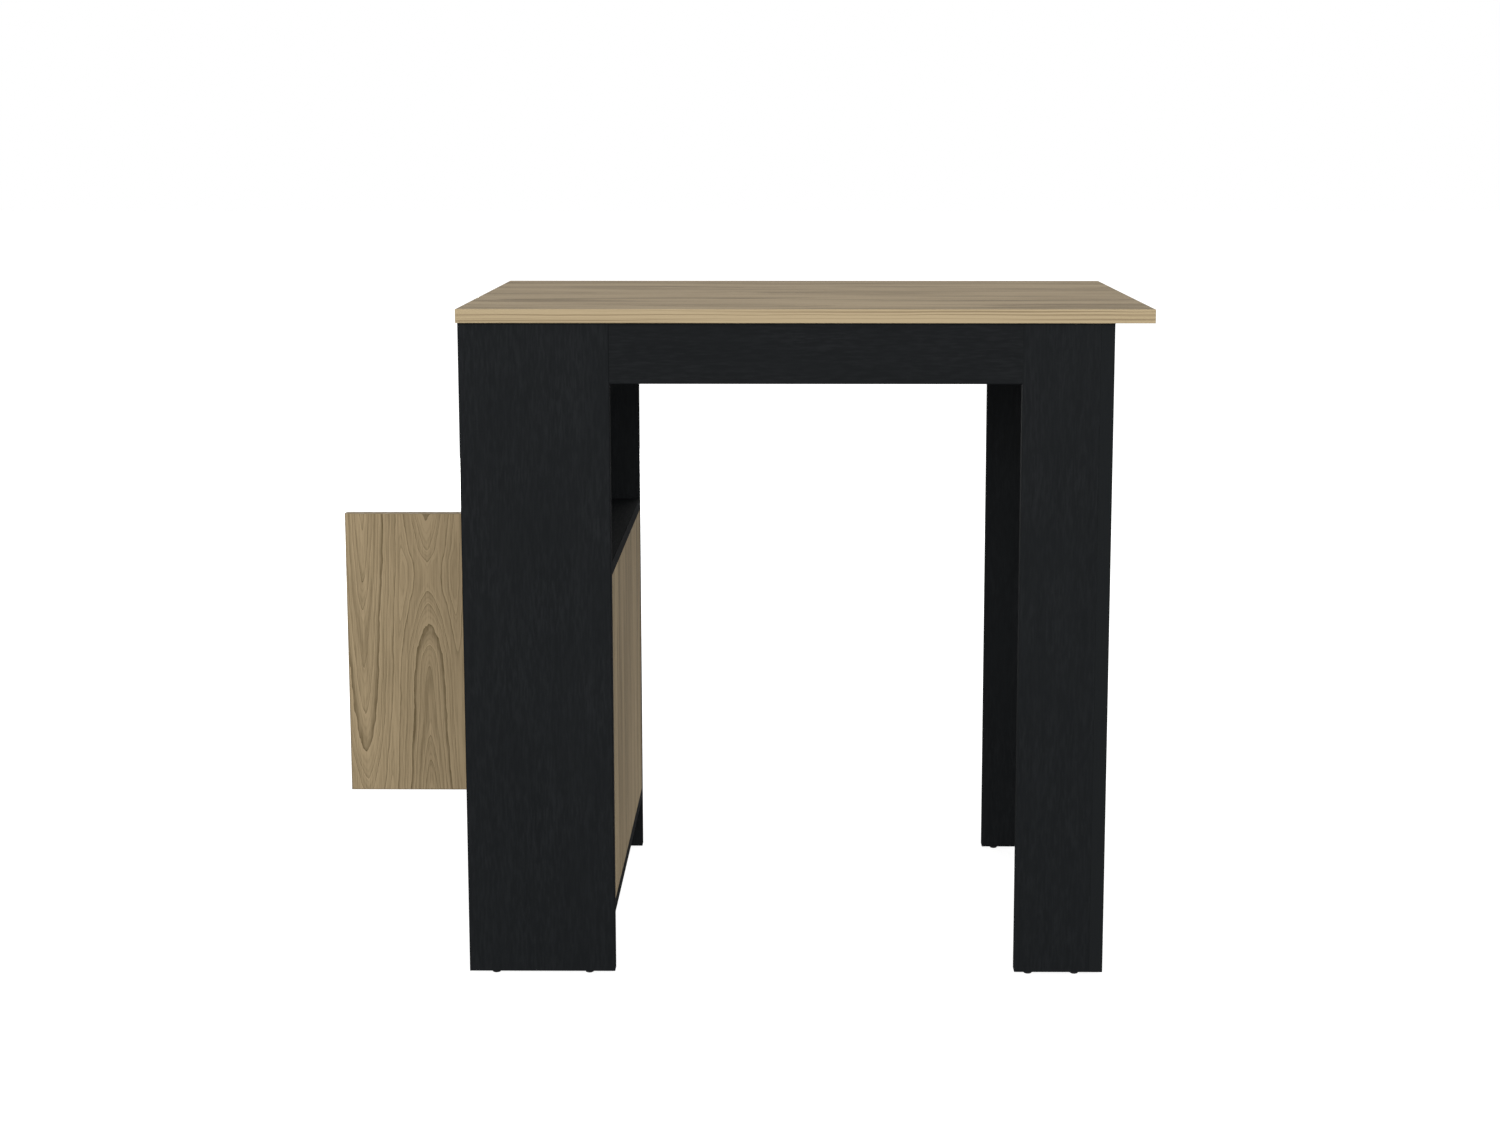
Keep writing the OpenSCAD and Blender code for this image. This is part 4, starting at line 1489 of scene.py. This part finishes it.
    def made(self, name: str, places: Sequence[Seat]) -> Piece:
        """Makes the piece that the finished tree gives.

        Args:
            name: the piece's name.
            places: where each copy of the fitting sits.

        Returns:
            The piece, as a plain mesh.
        """
        points = bpy.data.meshes.new(f"{name} points")
        points.from_pydata([seat.base for seat in places], [], [])
        for way in ("axis", "side"):
            values = points.attributes.new(way, "FLOAT_VECTOR", "POINT")
            values.data.foreach_set("vector", [part for seat in places for part in getattr(seat, way)])
        piece = bpy.data.objects.new(name, points)
        bpy.context.scene.collection.objects.link(piece)
        modifier = piece.modifiers.new("Fittings", "NODES")
        modifier.node_group = self.group
        for identifier, value in self.values.items():
            modifier[identifier] = value
        evaluated(piece)
        return piece


@dataclass(frozen=True)
class Fitting:
    """A set of like fittings, made once and set on each seat.

    Attributes:
        node: the CAD node of the set.
        finish: their finish.
        rings: the rings of the turned shape, from its base.
        sides: the number of sides round the axis.
        body: the body that they move with.
        thread: their thread, if they have one.
        recess: their cross recess, if they have one.
        bores: their bores.
        flutes: number and depth of their flutes, if they have them.
        turn: how far each may be turned about its axis, in radians.
        seed: the seed of those turns.
        smooth: the angle in degrees below which edges are shaded smooth.
    """

    node: str
    finish: Finish
    rings: tuple[Ring, ...]
    sides: int = 24
    body: Body = Body.CARCASE
    thread: Optional[Thread] = None
    recess: Optional[Recess] = None
    bores: tuple[Bore, ...] = ()
    flutes: Optional[tuple[int, float]] = None
    turn: float = 0.0
    seed: int = 3
    smooth: float = 35.0

    def tree(self) -> FittingTree:
        """Makes the tree of the set.

        Returns:
            The finished tree.
        """
        work = FittingTree(f"{self.node} set")
        shape = work.turned(self.rings, self.sides)
        if self.flutes:
            shape = work.fluted(shape, *self.flutes)
        cutters = work.arms(self.recess) if self.recess else []
        cutters += [work.drill(bore, f"Bore {i + 1}") for i, bore in enumerate(self.bores)]
        if cutters:
            shape = work.cut(shape, cutters)
        if self.thread:
            shape = work.joined(shape, work.threaded(self.thread))
        work.set_out(shape, self.finish, self.turn, self.seed)
        return work

    def build(self, places: Sequence[Seat]) -> None:
        """Sets the fitting on its seats.

        Args:
            places: where each one sits.
        """
        piece = self.tree().made(f"{self.node}_set", places)
        shape = bmesh.new()
        shape.from_mesh(piece.data)
        bmesh.ops.recalc_face_normals(shape, faces=shape.faces)
        shape.to_mesh(piece.data)
        shape.free()
        piece.data.shade_smooth()
        piece.data.set_sharp_from_angle(angle=math.radians(self.smooth))
        handed_over(piece, self.body, self.finish.slot, self.node)


@dataclass
class Worktop:
    """The oak-printed work surface and its four bands.

    Attributes:
        arris: radius of the outer edges of its bands.
        hearts: the figures of its print, from front to back.
    """

    arris: float = 0.7 * MM
    hearts: tuple[Heart, ...] = (
        Heart(62.0, ((-330, 8), (-150, 26), (60, 12), (240, 30), (420, 17), (580, 6))),
        Heart(176.0, ((-330, 32), (-190, 14), (-30, 6), (170, 22), (330, 9), (580, 28))),
        Heart(305.0, ((-330, 5), (-210, 18), (-20, 33), (150, 14), (370, 24), (580, 12))),
        Heart(421.0, ((-330, 24), (-120, 8), (90, 26), (260, 16), (410, 5), (580, 20))),
        Heart(528.0, ((-330, 12), (-160, 30), (30, 16), (230, 7), (440, 27), (580, 36))),
    )

    def build(self) -> None:
        """Builds the board and its bands."""
        low = Box.of_node("worktop").low.y / MM
        # The print is the door's oak, but its light and dark colours are greyer and paler: painted sheen of
        # light grazing the top.
        finish = OakPrint("oak print of the worktop", Slot.OAK, Way.Y, Way.X, low, self.hearts,
                          seed=11.0, light=(0.323, 0.257, 0.168), dark=(0.127, 0.098, 0.061), cloudy=0.85,
                          streak=340.0)
        Board("worktop", finish).build()
        nodes = tuple(f"worktop_{side}_edge_band" for side in ("front", "back", "left", "right"))
        Banding(nodes, "worktop", WORKTOP_BAND, arris=self.arris).build()


@dataclass
class Tower:
    """The cupboard tower: its black boards, oak side panel and loose shelves.

    Attributes:
        banded: the boards that have edge bands, with the node of those bands.
        hearts: the figures of the side panel's print.
    """

    banded: dict[str, str] = field(default_factory=lambda: {
        "tower_front_panel": "tower_front_panel_edge_bands",
        "tower_back_panel": "tower_back_panel_edge_bands",
        "tower_shelf": "tower_shelf_edge_bands",
        "cabinet_floor": "cabinet_floor_edge_bands",
        "cabinet_divider": "cabinet_divider_edge_band",
        "side_bay_shelf": "side_bay_shelf_edge_band",
        "cabinet_shelf": "cabinet_shelf_edge_band",
    })
    hearts: tuple[Heart, ...] = (
        Heart(70.0, ((95, 30), (210, 16), (330, 6), (545, 26))),
        Heart(205.0, ((95, 6), (230, 24), (380, 12), (545, 32))),
        Heart(330.0, ((95, 28), (250, 10), (400, 22), (545, 5))),
        Heart(465.0, ((95, 12), (260, 30), (420, 14), (545, 7))),
    )

    def build(self) -> None:
        """Builds the boards and their bands."""
        for board, bands in self.banded.items():
            Board.lined(board, BLACK_PRINT).build()
            Banding((bands,), board).build()
        low = Box.of_node("cabinet_inner_side_panel").low.y / MM
        # Its light colour is a little darker than the door's print: painted shade on this side face.
        finish = OakPrint("oak print of the side panel", Slot.OAK, Way.Y, Way.Z, low, self.hearts,
                          seed=23.0, light=(0.3, 0.231, 0.138), cloudy=1.0, streak=700.0)
        Board("cabinet_inner_side_panel", finish).build()


@dataclass
class LegFrame:
    """The two corner legs and the three rails that tie them to the tower.

    Attributes:
        legs: the legs' names.
        rails: the rails' names.
    """

    legs: tuple[str, ...] = ("front_leg", "back_leg")
    rails: tuple[str, ...] = ("front_rail", "back_rail", "end_rail")

    def build(self) -> None:
        """Builds the boards and their bands."""
        for leg in self.legs:
            for side in ("face", "side"):
                Board.lined(f"{leg}_{side}_board", BLACK_PRINT).build()
            Banding((f"{leg}_edge_bands",), f"{leg}_face_board", LEG_BAND).build()
        # The rails take the darker print, a painted shade under the worktop.
        for rail in self.rails:
            Board.lined(rail, SHADED_RAIL_PRINT).build()
        Banding(("rail_edge_bands",), "worktop").build()


@dataclass
class Door:
    """The inset oak door and its four bands.

    Attributes:
        hearts: the figures of its print, counted from its free edge.
    """

    hearts: tuple[Heart, ...] = (
        Heart(25.0, ((95, 43), (148, 36), (193, 30), (269, 24), (367, 18), (431, 12), (505, 6), (545, 3))),
        Heart(125.0, ((95, 4), (141, 11), (197, 17), (307, 23), (334, 28), (355, 32), (392, 39), (441, 45),
                      (486, 39), (545, 32))),
        Heart(222.0, ((95, 26), (240, 10), (380, 20), (545, 32))),
    )

    def build(self) -> None:
        """Builds the board and its bands."""
        low = Box.of_node("door_free_side_edge_band").low.x / MM
        finish = OakPrint("oak print of the door", Slot.OAK, Way.X, Way.Z, low, self.hearts,
                          seed=5.0, wave=7.0)
        Board("door_panel", finish, Body.DOOR).build()
        nodes = tuple(f"door_{side}_edge_band" for side in ("free_side", "hinge_side", "bottom", "top"))
        # Its bands carry the darker copy of the oak band, a painted shade.
        Banding(nodes, "door_panel", SHADED_DOOR_BAND, Body.DOOR).build()


@dataclass
class WoodScrew:
    """Sizes of the wood screws that hold the hinges and the latch.

    Attributes:
        head: radius of the head.
        shank: radius of the shank.
        length: length behind the fixed leaf or flange.
        pitch: pitch of the thread.
        ridge: height of the thread on its core.
    """

    head: float = 2.9 * MM
    shank: float = 1.5 * MM
    length: float = 12 * MM
    pitch: float = 1.3 * MM
    ridge: float = 0.42 * MM

    def sunk(self, node: str, body: Body, head_h: float, seed: int) -> Fitting:
        """Makes a set of countersunk screws.

        Args:
            node: the CAD node of the set.
            body: the body that they move with.
            head_h: height of the head.
            seed: the seed of their turns.

        Returns:
            The set.
        """
        head = (Ring("Rim", self.head - 0.1 * MM, 0.0), Ring("Head", self.head, 0.1 * MM))
        return self.screws(node, body, head, head_h, head_h + self.length, seed)

    def panned(self, node: str, body: Body, head_h: float, flange: float, seed: int) -> Fitting:
        """Makes a set of pan-head screws through a flange.

        Args:
            node: the CAD node of the set.
            body: the body that they move with.
            head_h: height of the head.
            flange: thickness of the flange.
            seed: the seed of their turns.

        Returns:
            The set.
        """
        head = (Ring("Crown", self.head * 0.72, 0.0), Ring("Dome", self.head * 0.93, 0.35 * head_h),
                Ring("Head", self.head, 0.7 * head_h), Ring("Seat", self.head, head_h))
        return self.screws(node, body, head, head_h, head_h + flange + self.length, seed)

    def screws(self, node: str, body: Body, head: tuple[Ring, ...], neck: float, tip: float,
               seed: int) -> Fitting:
        """Makes a set of screws with this shank, thread and recess.

        Args:
            node: the CAD node of the set.
            body: the body that they move with.
            head: the rings of the head.
            neck: where the shank starts.
            tip: where it ends.
            seed: the seed of their turns.

        Returns:
            The set.
        """
        shank = (Ring("Neck", self.shank, neck), Ring("Core", self.shank - 0.3 * MM, neck + 0.5 * MM),
                 Ring("Cone", self.shank - 0.4 * MM, tip - 2 * MM), Ring("Tip", 0.12 * MM, tip))
        start = neck + 0.8 * MM
        thread = Thread(self.shank - self.ridge, start, tip - start - 1.8 * MM, self.pitch, self.ridge)
        recess = Recess(3.4 * MM, 0.7 * MM, 0.0, 0.9 * MM)
        return Fitting(node, SCREW_STEEL, head + shank, body=body, thread=thread, recess=recess,
                       turn=math.pi, seed=seed)


@dataclass
class Hinges:
    """The two butt hinges with their pins and screws.

    Attributes:
        screw: sizes of their screws.
        leaf: thickness of a leaf, which is the height of a sunk head.
    """

    screw: WoodScrew = field(default_factory=WoodScrew)
    leaf: float = 1.2 * MM

    def build(self) -> None:
        """Builds leaves, pins and screws."""
        for place in ("upper", "lower"):
            Casting(f"{place}_hinge_frame_leaf", PLATED_STEEL).build()
            Casting(f"{place}_hinge_door_leaf", PLATED_STEEL, Body.DOOR).build()
            Casting(f"{place}_hinge_pin", SCREW_STEEL, round=0.2 * MM).build()
        sets = (("hinge_frame_screws", Body.CARCASE, 4), ("hinge_door_screws", Body.DOOR, 9))
        for node, body, seed in sets:
            self.screw.sunk(node, body, self.leaf, seed).build(headed_seats(node))


@dataclass
class PushLatch:
    """The push latch under the tower shelf.

    Attributes:
        screw: sizes of its screws.
        flange: thickness of its flange.
        pan: height of its screws' heads.
        wire: radius of the spring's wire.
        turns: number of the spring's turns.
        facets: number of sides of one turn, and of the wire's section.
        travel: how far the plunger is pressed; not used.
    """

    screw: WoodScrew = field(default_factory=WoodScrew)
    flange: float = 3 * MM
    pan: float = 1.8 * MM
    wire: float = 0.3 * MM
    turns: float = 10.0
    facets: tuple[int, int] = (24, 8)
    travel: float = 4 * MM

    def build(self) -> None:
        """Builds housing, plunger, buffer, screws and spring."""
        Casting("latch_housing", GREY_PLASTIC, round=0.5 * MM).build()
        Casting("latch_plunger", DARK_PLASTIC, Body.PLUNGER, round=0.25 * MM).build()
        Casting("latch_buffer", RUBBER, Body.PLUNGER, round=0.7 * MM, segments=3).build()
        screws = self.screw.panned("latch_screws", Body.CARCASE, self.pan, self.flange, 6)
        screws.build(headed_seats("latch_screws"))
        self.spring()

    def spring(self) -> None:
        """Winds the spring."""
        box = Box.of_node("latch_spring")
        middle = box.middle
        work = FittingTree("latch spring")
        radius = work.input("Coil radius", box.extent.y / 2 - self.wire)
        length = work.input("Length", box.extent.x - 2 * self.wire)
        turns = work.input("Turns", self.turns)
        wire = work.input("Wire radius", self.wire)
        coil = work.wound(radius, length, turns, wire, self.facets, False)
        work.set_out(coil, SPRING_STEEL, 0.0, 0)
        base = Vector((box.low.x + self.wire, middle.y, middle.z))
        piece = work.made("latch_spring_coil", [Seat(base, Way.X.vector, Way.Y.vector)])
        piece.data.shade_smooth()
        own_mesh(piece)
        handed_over(piece, Body.CARCASE, SPRING_STEEL.slot, "latch_spring")


@dataclass
class JoiningHardware:
    """The hidden fittings that hold the boards together, and what stands under them.

    Attributes:
        disc: radius of a cam disc.
        disc_h: height of a cam disc.
        disc_below: depth of a disc's base below its bolt.
        bolt: radius of a cam bolt's thread and head.
        bolt_l: length of a cam bolt.
        bolt_head: length of its head, which the disc grips.
        thread_l: length of its thread.
        dowel: radius of a dowel.
        dowel_l: length of a dowel.
        confirmat: radius of a confirmat screw.
        confirmat_l: length of a confirmat screw.
        pin: radius of a shelf pin.
        pin_in: length of a shelf pin in its board.
        pin_out: length of a shelf pin under its shelf.
        glide: radius of a glide.
        glide_h: height of a glide.
        glide_round: radius of the rounding round its flat foot.
        nail: radius of a glide's nail.
    """

    disc: float = 7.4 * MM
    disc_h: float = 12.7 * MM
    disc_below: float = 4 * MM
    bolt: float = 2.9 * MM
    bolt_l: float = 42 * MM
    bolt_head: float = 3 * MM
    thread_l: float = 11 * MM
    dowel: float = 4 * MM
    dowel_l: float = 30 * MM
    confirmat: float = 2.5 * MM
    confirmat_l: float = 50 * MM
    pin: float = 2.5 * MM
    pin_in: float = 7 * MM
    pin_out: float = 9 * MM
    glide: float = 6 * MM
    glide_h: float = 4 * MM
    glide_round: float = 2.25 * MM
    nail: float = 0.8 * MM

    def bolts(self) -> Fitting:
        """Sizes the cam bolts, from the head that the disc grips to the thread.

        Returns:
            The set.
        """
        head, shank, root = self.bolt_head, self.bolt - MM, self.bolt - 0.7 * MM
        length, shoulder = self.bolt_l, self.bolt_l - self.thread_l
        rings = (Ring("Head", self.bolt - 0.4 * MM, 0.0), Ring("Head rim", self.bolt, 0.4 * MM),
                 Ring("Head back", self.bolt, head), Ring("Shank", shank, head + 0.2 * MM),
                 Ring("Shank end", shank, shoulder - 0.2 * MM), Ring("Shoulder", self.bolt, shoulder),
                 Ring("Thread root", root, shoulder + 0.4 * MM),
                 Ring("Thread end", self.bolt - 0.8 * MM, length - MM), Ring("Tip", 1.2 * MM, length))
        thread = Thread(root, shoulder + 1.2 * MM, self.thread_l - 2.6 * MM, 1.9 * MM, 0.68 * MM)
        recess = Recess(3 * MM, 0.7 * MM, 0.0, 1.2 * MM)
        return Fitting("cam_bolts", SCREW_STEEL, rings, sides=16, thread=thread, recess=recess)

    def discs(self) -> Fitting:
        """Sizes the cam discs, from the base to the face with the cross recess.

        Returns:
            The set.
        """
        soft = 0.35 * MM
        rings = (Ring("Base", self.disc - soft, 0.0), Ring("Base rim", self.disc, soft),
                 Ring("Wall", self.disc, self.disc_h - soft), Ring("Face", self.disc - soft, self.disc_h))
        recess = Recess(9 * MM, 1.6 * MM, self.disc_h, 2.5 * MM)
        mouth = Bore(self.bolt + 0.5 * MM, self.disc_below, 12 * MM, True)
        return Fitting("cam_discs", CAST_ZINC, rings, sides=32, recess=recess, bores=(mouth,))

    def grip(self, bolt: Seat) -> Vector:
        """Returns the back of a bolt's head, where its disc grips it."""
        return bolt.base + bolt.axis * self.bolt_head

    def disc_seats(self, bolt_seats: Sequence[Seat]) -> list[Seat]:
        """Works out how the cam discs sit.

        Args:
            bolt_seats: the seats of the bolts, whose heads lie in the discs.

        Returns:
            A seat for each disc, whose mouth is turned to its bolt.
        """
        found = []
        for box, _ in solids("cam_discs"):
            way = box.thinnest()
            bolt = min(bolt_seats, key=lambda seat: (self.grip(seat) - box.middle).length)
            upward = way.vector if box.middle[way.value] > bolt.base[way.value] else -way.vector
            base = box.middle - upward * box.extent[way.value] / 2
            found.append(Seat(base, upward, bolt.axis))
        return found

    def dowels(self) -> Fitting:
        """Sizes the fluted beech dowels.

        Returns:
            The set.
        """
        end = self.dowel - MM
        rings = (Ring("End", end, 0.0), Ring("Chamfer", self.dowel, MM),
                 Ring("Far chamfer", self.dowel, self.dowel_l - MM), Ring("Far end", end, self.dowel_l))
        return Fitting("dowels", BEECH, rings, sides=60, flutes=(15, 0.07))

    def confirmats(self) -> Fitting:
        """Sizes the confirmat screws, from the sunk head.

        Returns:
            The set.
        """
        core, head = self.confirmat - 0.6 * MM, 2 * self.confirmat
        rings = (Ring("Head rim", head - 0.1 * MM, 0.0), Ring("Head", head, 0.2 * MM),
                 Ring("Neck", self.confirmat, 4 * MM), Ring("Shank", self.confirmat, 12 * MM),
                 Ring("Core", core, 12.5 * MM), Ring("Core end", core, self.confirmat_l - 3 * MM),
                 Ring("Tip", 0.8 * MM, self.confirmat_l))
        thread = Thread(core, 13.5 * MM, self.confirmat_l - 17.5 * MM, 3 * MM, 0.6 * MM)
        recess = Recess(5.4 * MM, 1.1 * MM, 0.0, 1.8 * MM)
        return Fitting("confirmat_screws", SCREW_STEEL, rings, thread=thread, recess=recess,
                       turn=math.pi, seed=2)

    def pins(self) -> Fitting:
        """Sizes the shelf pins, from the end in the board.

        Returns:
            The set.
        """
        collar = self.pin + 1.5 * MM
        length = self.pin_in + self.pin_out
        rings = (Ring("End", self.pin - 0.4 * MM, 0.0), Ring("Chamfer", self.pin, 0.5 * MM),
                 Ring("Neck", self.pin, self.pin_in), Ring("Collar", collar - 0.2 * MM, self.pin_in),
                 Ring("Collar rim", collar, self.pin_in + 0.3 * MM),
                 Ring("Collar edge", collar, self.pin_in + 0.7 * MM),
                 Ring("Collar face", collar - 0.3 * MM, self.pin_in + MM),
                 Ring("Rod", self.pin, self.pin_in + MM), Ring("Rod end", self.pin, length - 0.5 * MM),
                 Ring("Tip", self.pin - 0.5 * MM, length))
        return Fitting("shelf_pins", PLATED_STEEL, rings)

    def glides(self) -> Fitting:
        """Sizes the glides under the panels and legs, from the flat foot.

        Returns:
            The set.
        """
        steps = 6
        foot = self.glide - self.glide_round
        rings = []
        for i in range(steps + 1):
            turn = math.pi / 2 * i / steps
            radius = foot + self.glide_round * math.sin(turn)
            rings.append(Ring(f"Rounding {i}", radius, self.glide_round * (1 - math.cos(turn))))
        rings.append(Ring("Top edge", self.glide, self.glide_h - 0.2 * MM))
        rings.append(Ring("Top", self.glide - 0.2 * MM, self.glide_h))
        bore = Bore(self.nail + 0.1 * MM, self.glide_h / 2 - 0.1 * MM, self.glide_h, False)
        return Fitting("floor_glides", DARK_PLASTIC, tuple(rings), sides=32, bores=(bore,))

    def nails(self, length: float) -> Fitting:
        """Sizes the glides' nails, from the end in the glide.

        Args:
            length: their length.

        Returns:
            The set.
        """
        rings = (Ring("Foot", self.nail, 0.0), Ring("Shank", self.nail, length - 2 * MM),
                 Ring("Point", 0.1 * MM, length))
        return Fitting("glide_nails", PLATED_STEEL, rings, sides=12)

    def build(self) -> None:
        """Builds each set of fittings."""
        bolt_seats = headed_seats("cam_bolts")
        self.bolts().build(bolt_seats)
        self.discs().build(self.disc_seats(bolt_seats))
        self.dowels().build(headed_seats("dowels"))
        self.confirmats().build(headed_seats("confirmat_screws"))
        self.pins().build(headed_seats("shelf_pins"))
        self.glides().build(standing_seats("floor_glides"))
        self.nails(Box.of_node("glide_nails").extent.z).build(standing_seats("glide_nails"))


@dataclass(frozen=True)
class SoftLight:
    """A large soft light.

    Attributes:
        name: its name.
        place: where it stands.
        width: its width.
        height: its height.
        watts: its power.
        aim: the point that it faces.
    """

    name: str
    place: Point
    width: float
    height: float
    watts: float
    aim: Point = (0.12, 0.0, 0.5)

    def build(self) -> None:
        """Sets up the light."""
        lamp = bpy.data.lights.new(self.name, "AREA")
        lamp.shape = "RECTANGLE"
        lamp.size = self.width
        lamp.size_y = self.height
        lamp.energy = self.watts
        stand = bpy.data.objects.new(self.name, lamp)
        stand.location = self.place
        stand.rotation_euler = (Vector(self.aim) - Vector(self.place)).to_track_quat("-Z", "Y").to_euler()
        stand.visible_camera = False
        bpy.context.scene.collection.objects.link(stand)


@dataclass
class Studio:
    """A white studio with a pale floor.

    Attributes:
        lights: its soft lights.
        around: brightness of the room that the object sees.
        floor_half: half the floor's width.
        floor_albedo: how much light the floor returns.
        floor_glow: brightness of the floor to the camera, under the object and far from it.
        floor_fade: distances between which that brightness changes, in millimetres.
        floor_bounce: brightness of the floor that the object sees.
    """

    lights: tuple[SoftLight, ...] = (
        SoftLight("front light", (0.6, -6.0, 3.4), 5.0, 3.5, 352.0),
        SoftLight("low front light", (-0.4, -5.2, 0.5), 2.0, 0.8, 36.0),
        SoftLight("right light", (4.4, -1.2, 1.7), 2.6, 2.6, 56.0),
        SoftLight("left light", (-4.4, -1.5, 1.7), 2.6, 2.6, 73.0),
        SoftLight("back light", (0.0, 3.2, 4.4), 3.4, 2.4, 30.0),
        SoftLight("low back light", (-1.8, 4.4, 0.44), 2.8, 0.8, 200.0),
    )
    around: float = 0.56
    floor_half: float = 30.0
    floor_albedo: float = 0.35
    floor_glow: tuple[float, float] = (0.86, 1.0)
    floor_fade: tuple[float, float] = (700.0, 1800.0)
    floor_bounce: float = 0.15

    def build(self) -> None:
        """Sets up floor, room and lights."""
        self.floor()
        self.room()
        for light in self.lights:
            light.build()
        bpy.context.scene.view_settings.view_transform = "Standard"

    def floor(self) -> None:
        """Lays the floor, which fades to white with distance."""
        shape = bmesh.new()
        bmesh.ops.create_grid(shape, x_segments=1, y_segments=1, size=self.floor_half)
        mesh = bpy.data.meshes.new("floor")
        shape.to_mesh(mesh)
        shape.free()
        material = bpy.data.materials.new("pale floor")
        material.use_nodes = True
        tree = Tree(material.node_tree)
        x, y, _ = tree.place()
        square = tree.math("ADD", tree.math("POWER", x, 2.0), tree.math("POWER", y, 2.0))
        glow = tree.spread(tree.math("SQRT", square), *self.floor_fade, *self.floor_glow)
        seen = tree.add("ShaderNodeLightPath").outputs["Is Camera Ray"]
        bounce = tree.math("MULTIPLY", self.floor_bounce, tree.math("SUBTRACT", 1.0, seen))
        shade = self.floor_albedo
        tree.fill(material.node_tree.nodes["Principled BSDF"], {
            "Base Color": (shade, shade, shade, 1.0),
            "Roughness": 1.0,
            "Specular IOR Level": 0.0,
            "Emission Color": (1.0, 1.0, 1.0, 1.0),
            "Emission Strength": tree.math("ADD", tree.math("MULTIPLY", glow, seen), bounce),
        })
        mesh.materials.append(material)
        ground = bpy.data.objects.new("floor", mesh)
        bpy.context.scene.collection.objects.link(ground)

    def room(self) -> None:
        """Makes the room white to the camera and softer to the object."""
        world = bpy.data.worlds.new("studio")
        world.use_nodes = True
        tree = Tree(world.node_tree)
        seen = tree.add("ShaderNodeLightPath").outputs["Is Camera Ray"]
        tree.fill(world.node_tree.nodes["Background"], {
            "Color": (1.0, 1.0, 1.0, 1.0),
            "Strength": tree.spread(seen, 0.0, 1.0, self.around, 1.0),
        })
        bpy.context.scene.world = world


@dataclass
class PhotoCamera:
    """The camera at the photograph's viewing angle.

    Attributes:
        place: where it stands.
        down: how far it looks down, in degrees.
        left: how far it is turned to the left, in degrees.
        focal: its focal length in pixels of the photograph.
        centre: the photograph's principal point in pixels.
        frame: the photograph's size in pixels.
        sensor: width of its film in millimetres.
        reach: how far it sees.
    """

    place: Point = (0.11781, -3.26559, 1.11642)
    down: float = 8.2207
    left: float = 0.4044
    focal: float = 2320.74
    centre: tuple[float, float] = (781.29, 467.79)
    frame: tuple[float, float] = (1500.0, 1125.0)
    sensor: float = 36.0
    reach: float = 200.0

    def build(self) -> None:
        """Makes the camera and gives it to the scene."""
        lens = bpy.data.cameras.new("photo camera")
        width, height = self.frame
        lens.sensor_width = self.sensor
        lens.lens = self.focal * self.sensor / width
        lens.shift_x = (width / 2 - self.centre[0]) / width
        lens.shift_y = (self.centre[1] - height / 2) / width
        lens.clip_end = self.reach
        camera = bpy.data.objects.new("photo camera", lens)
        camera.location = self.place
        camera.rotation_euler = (math.radians(90.0 - self.down), 0.0, math.radians(self.left))
        bpy.context.scene.collection.objects.link(camera)
        bpy.context.scene.camera = camera


def main() -> None:
    """Builds the island's looks round its frame."""
    logging.basicConfig(level=logging.INFO, format="%(message)s")
    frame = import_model()
    LOG.info("%d nodes in the frame", len(frame["nodes"]))
    PhotoCamera().build()
    Studio().build()
    for assembly in (Worktop(), Tower(), LegFrame(), Door(), Hinges(), PushLatch(), JoiningHardware()):
        assembly.build()
        LOG.info("%s is done", type(assembly).__name__)


if __name__ == "__main__":
    main()
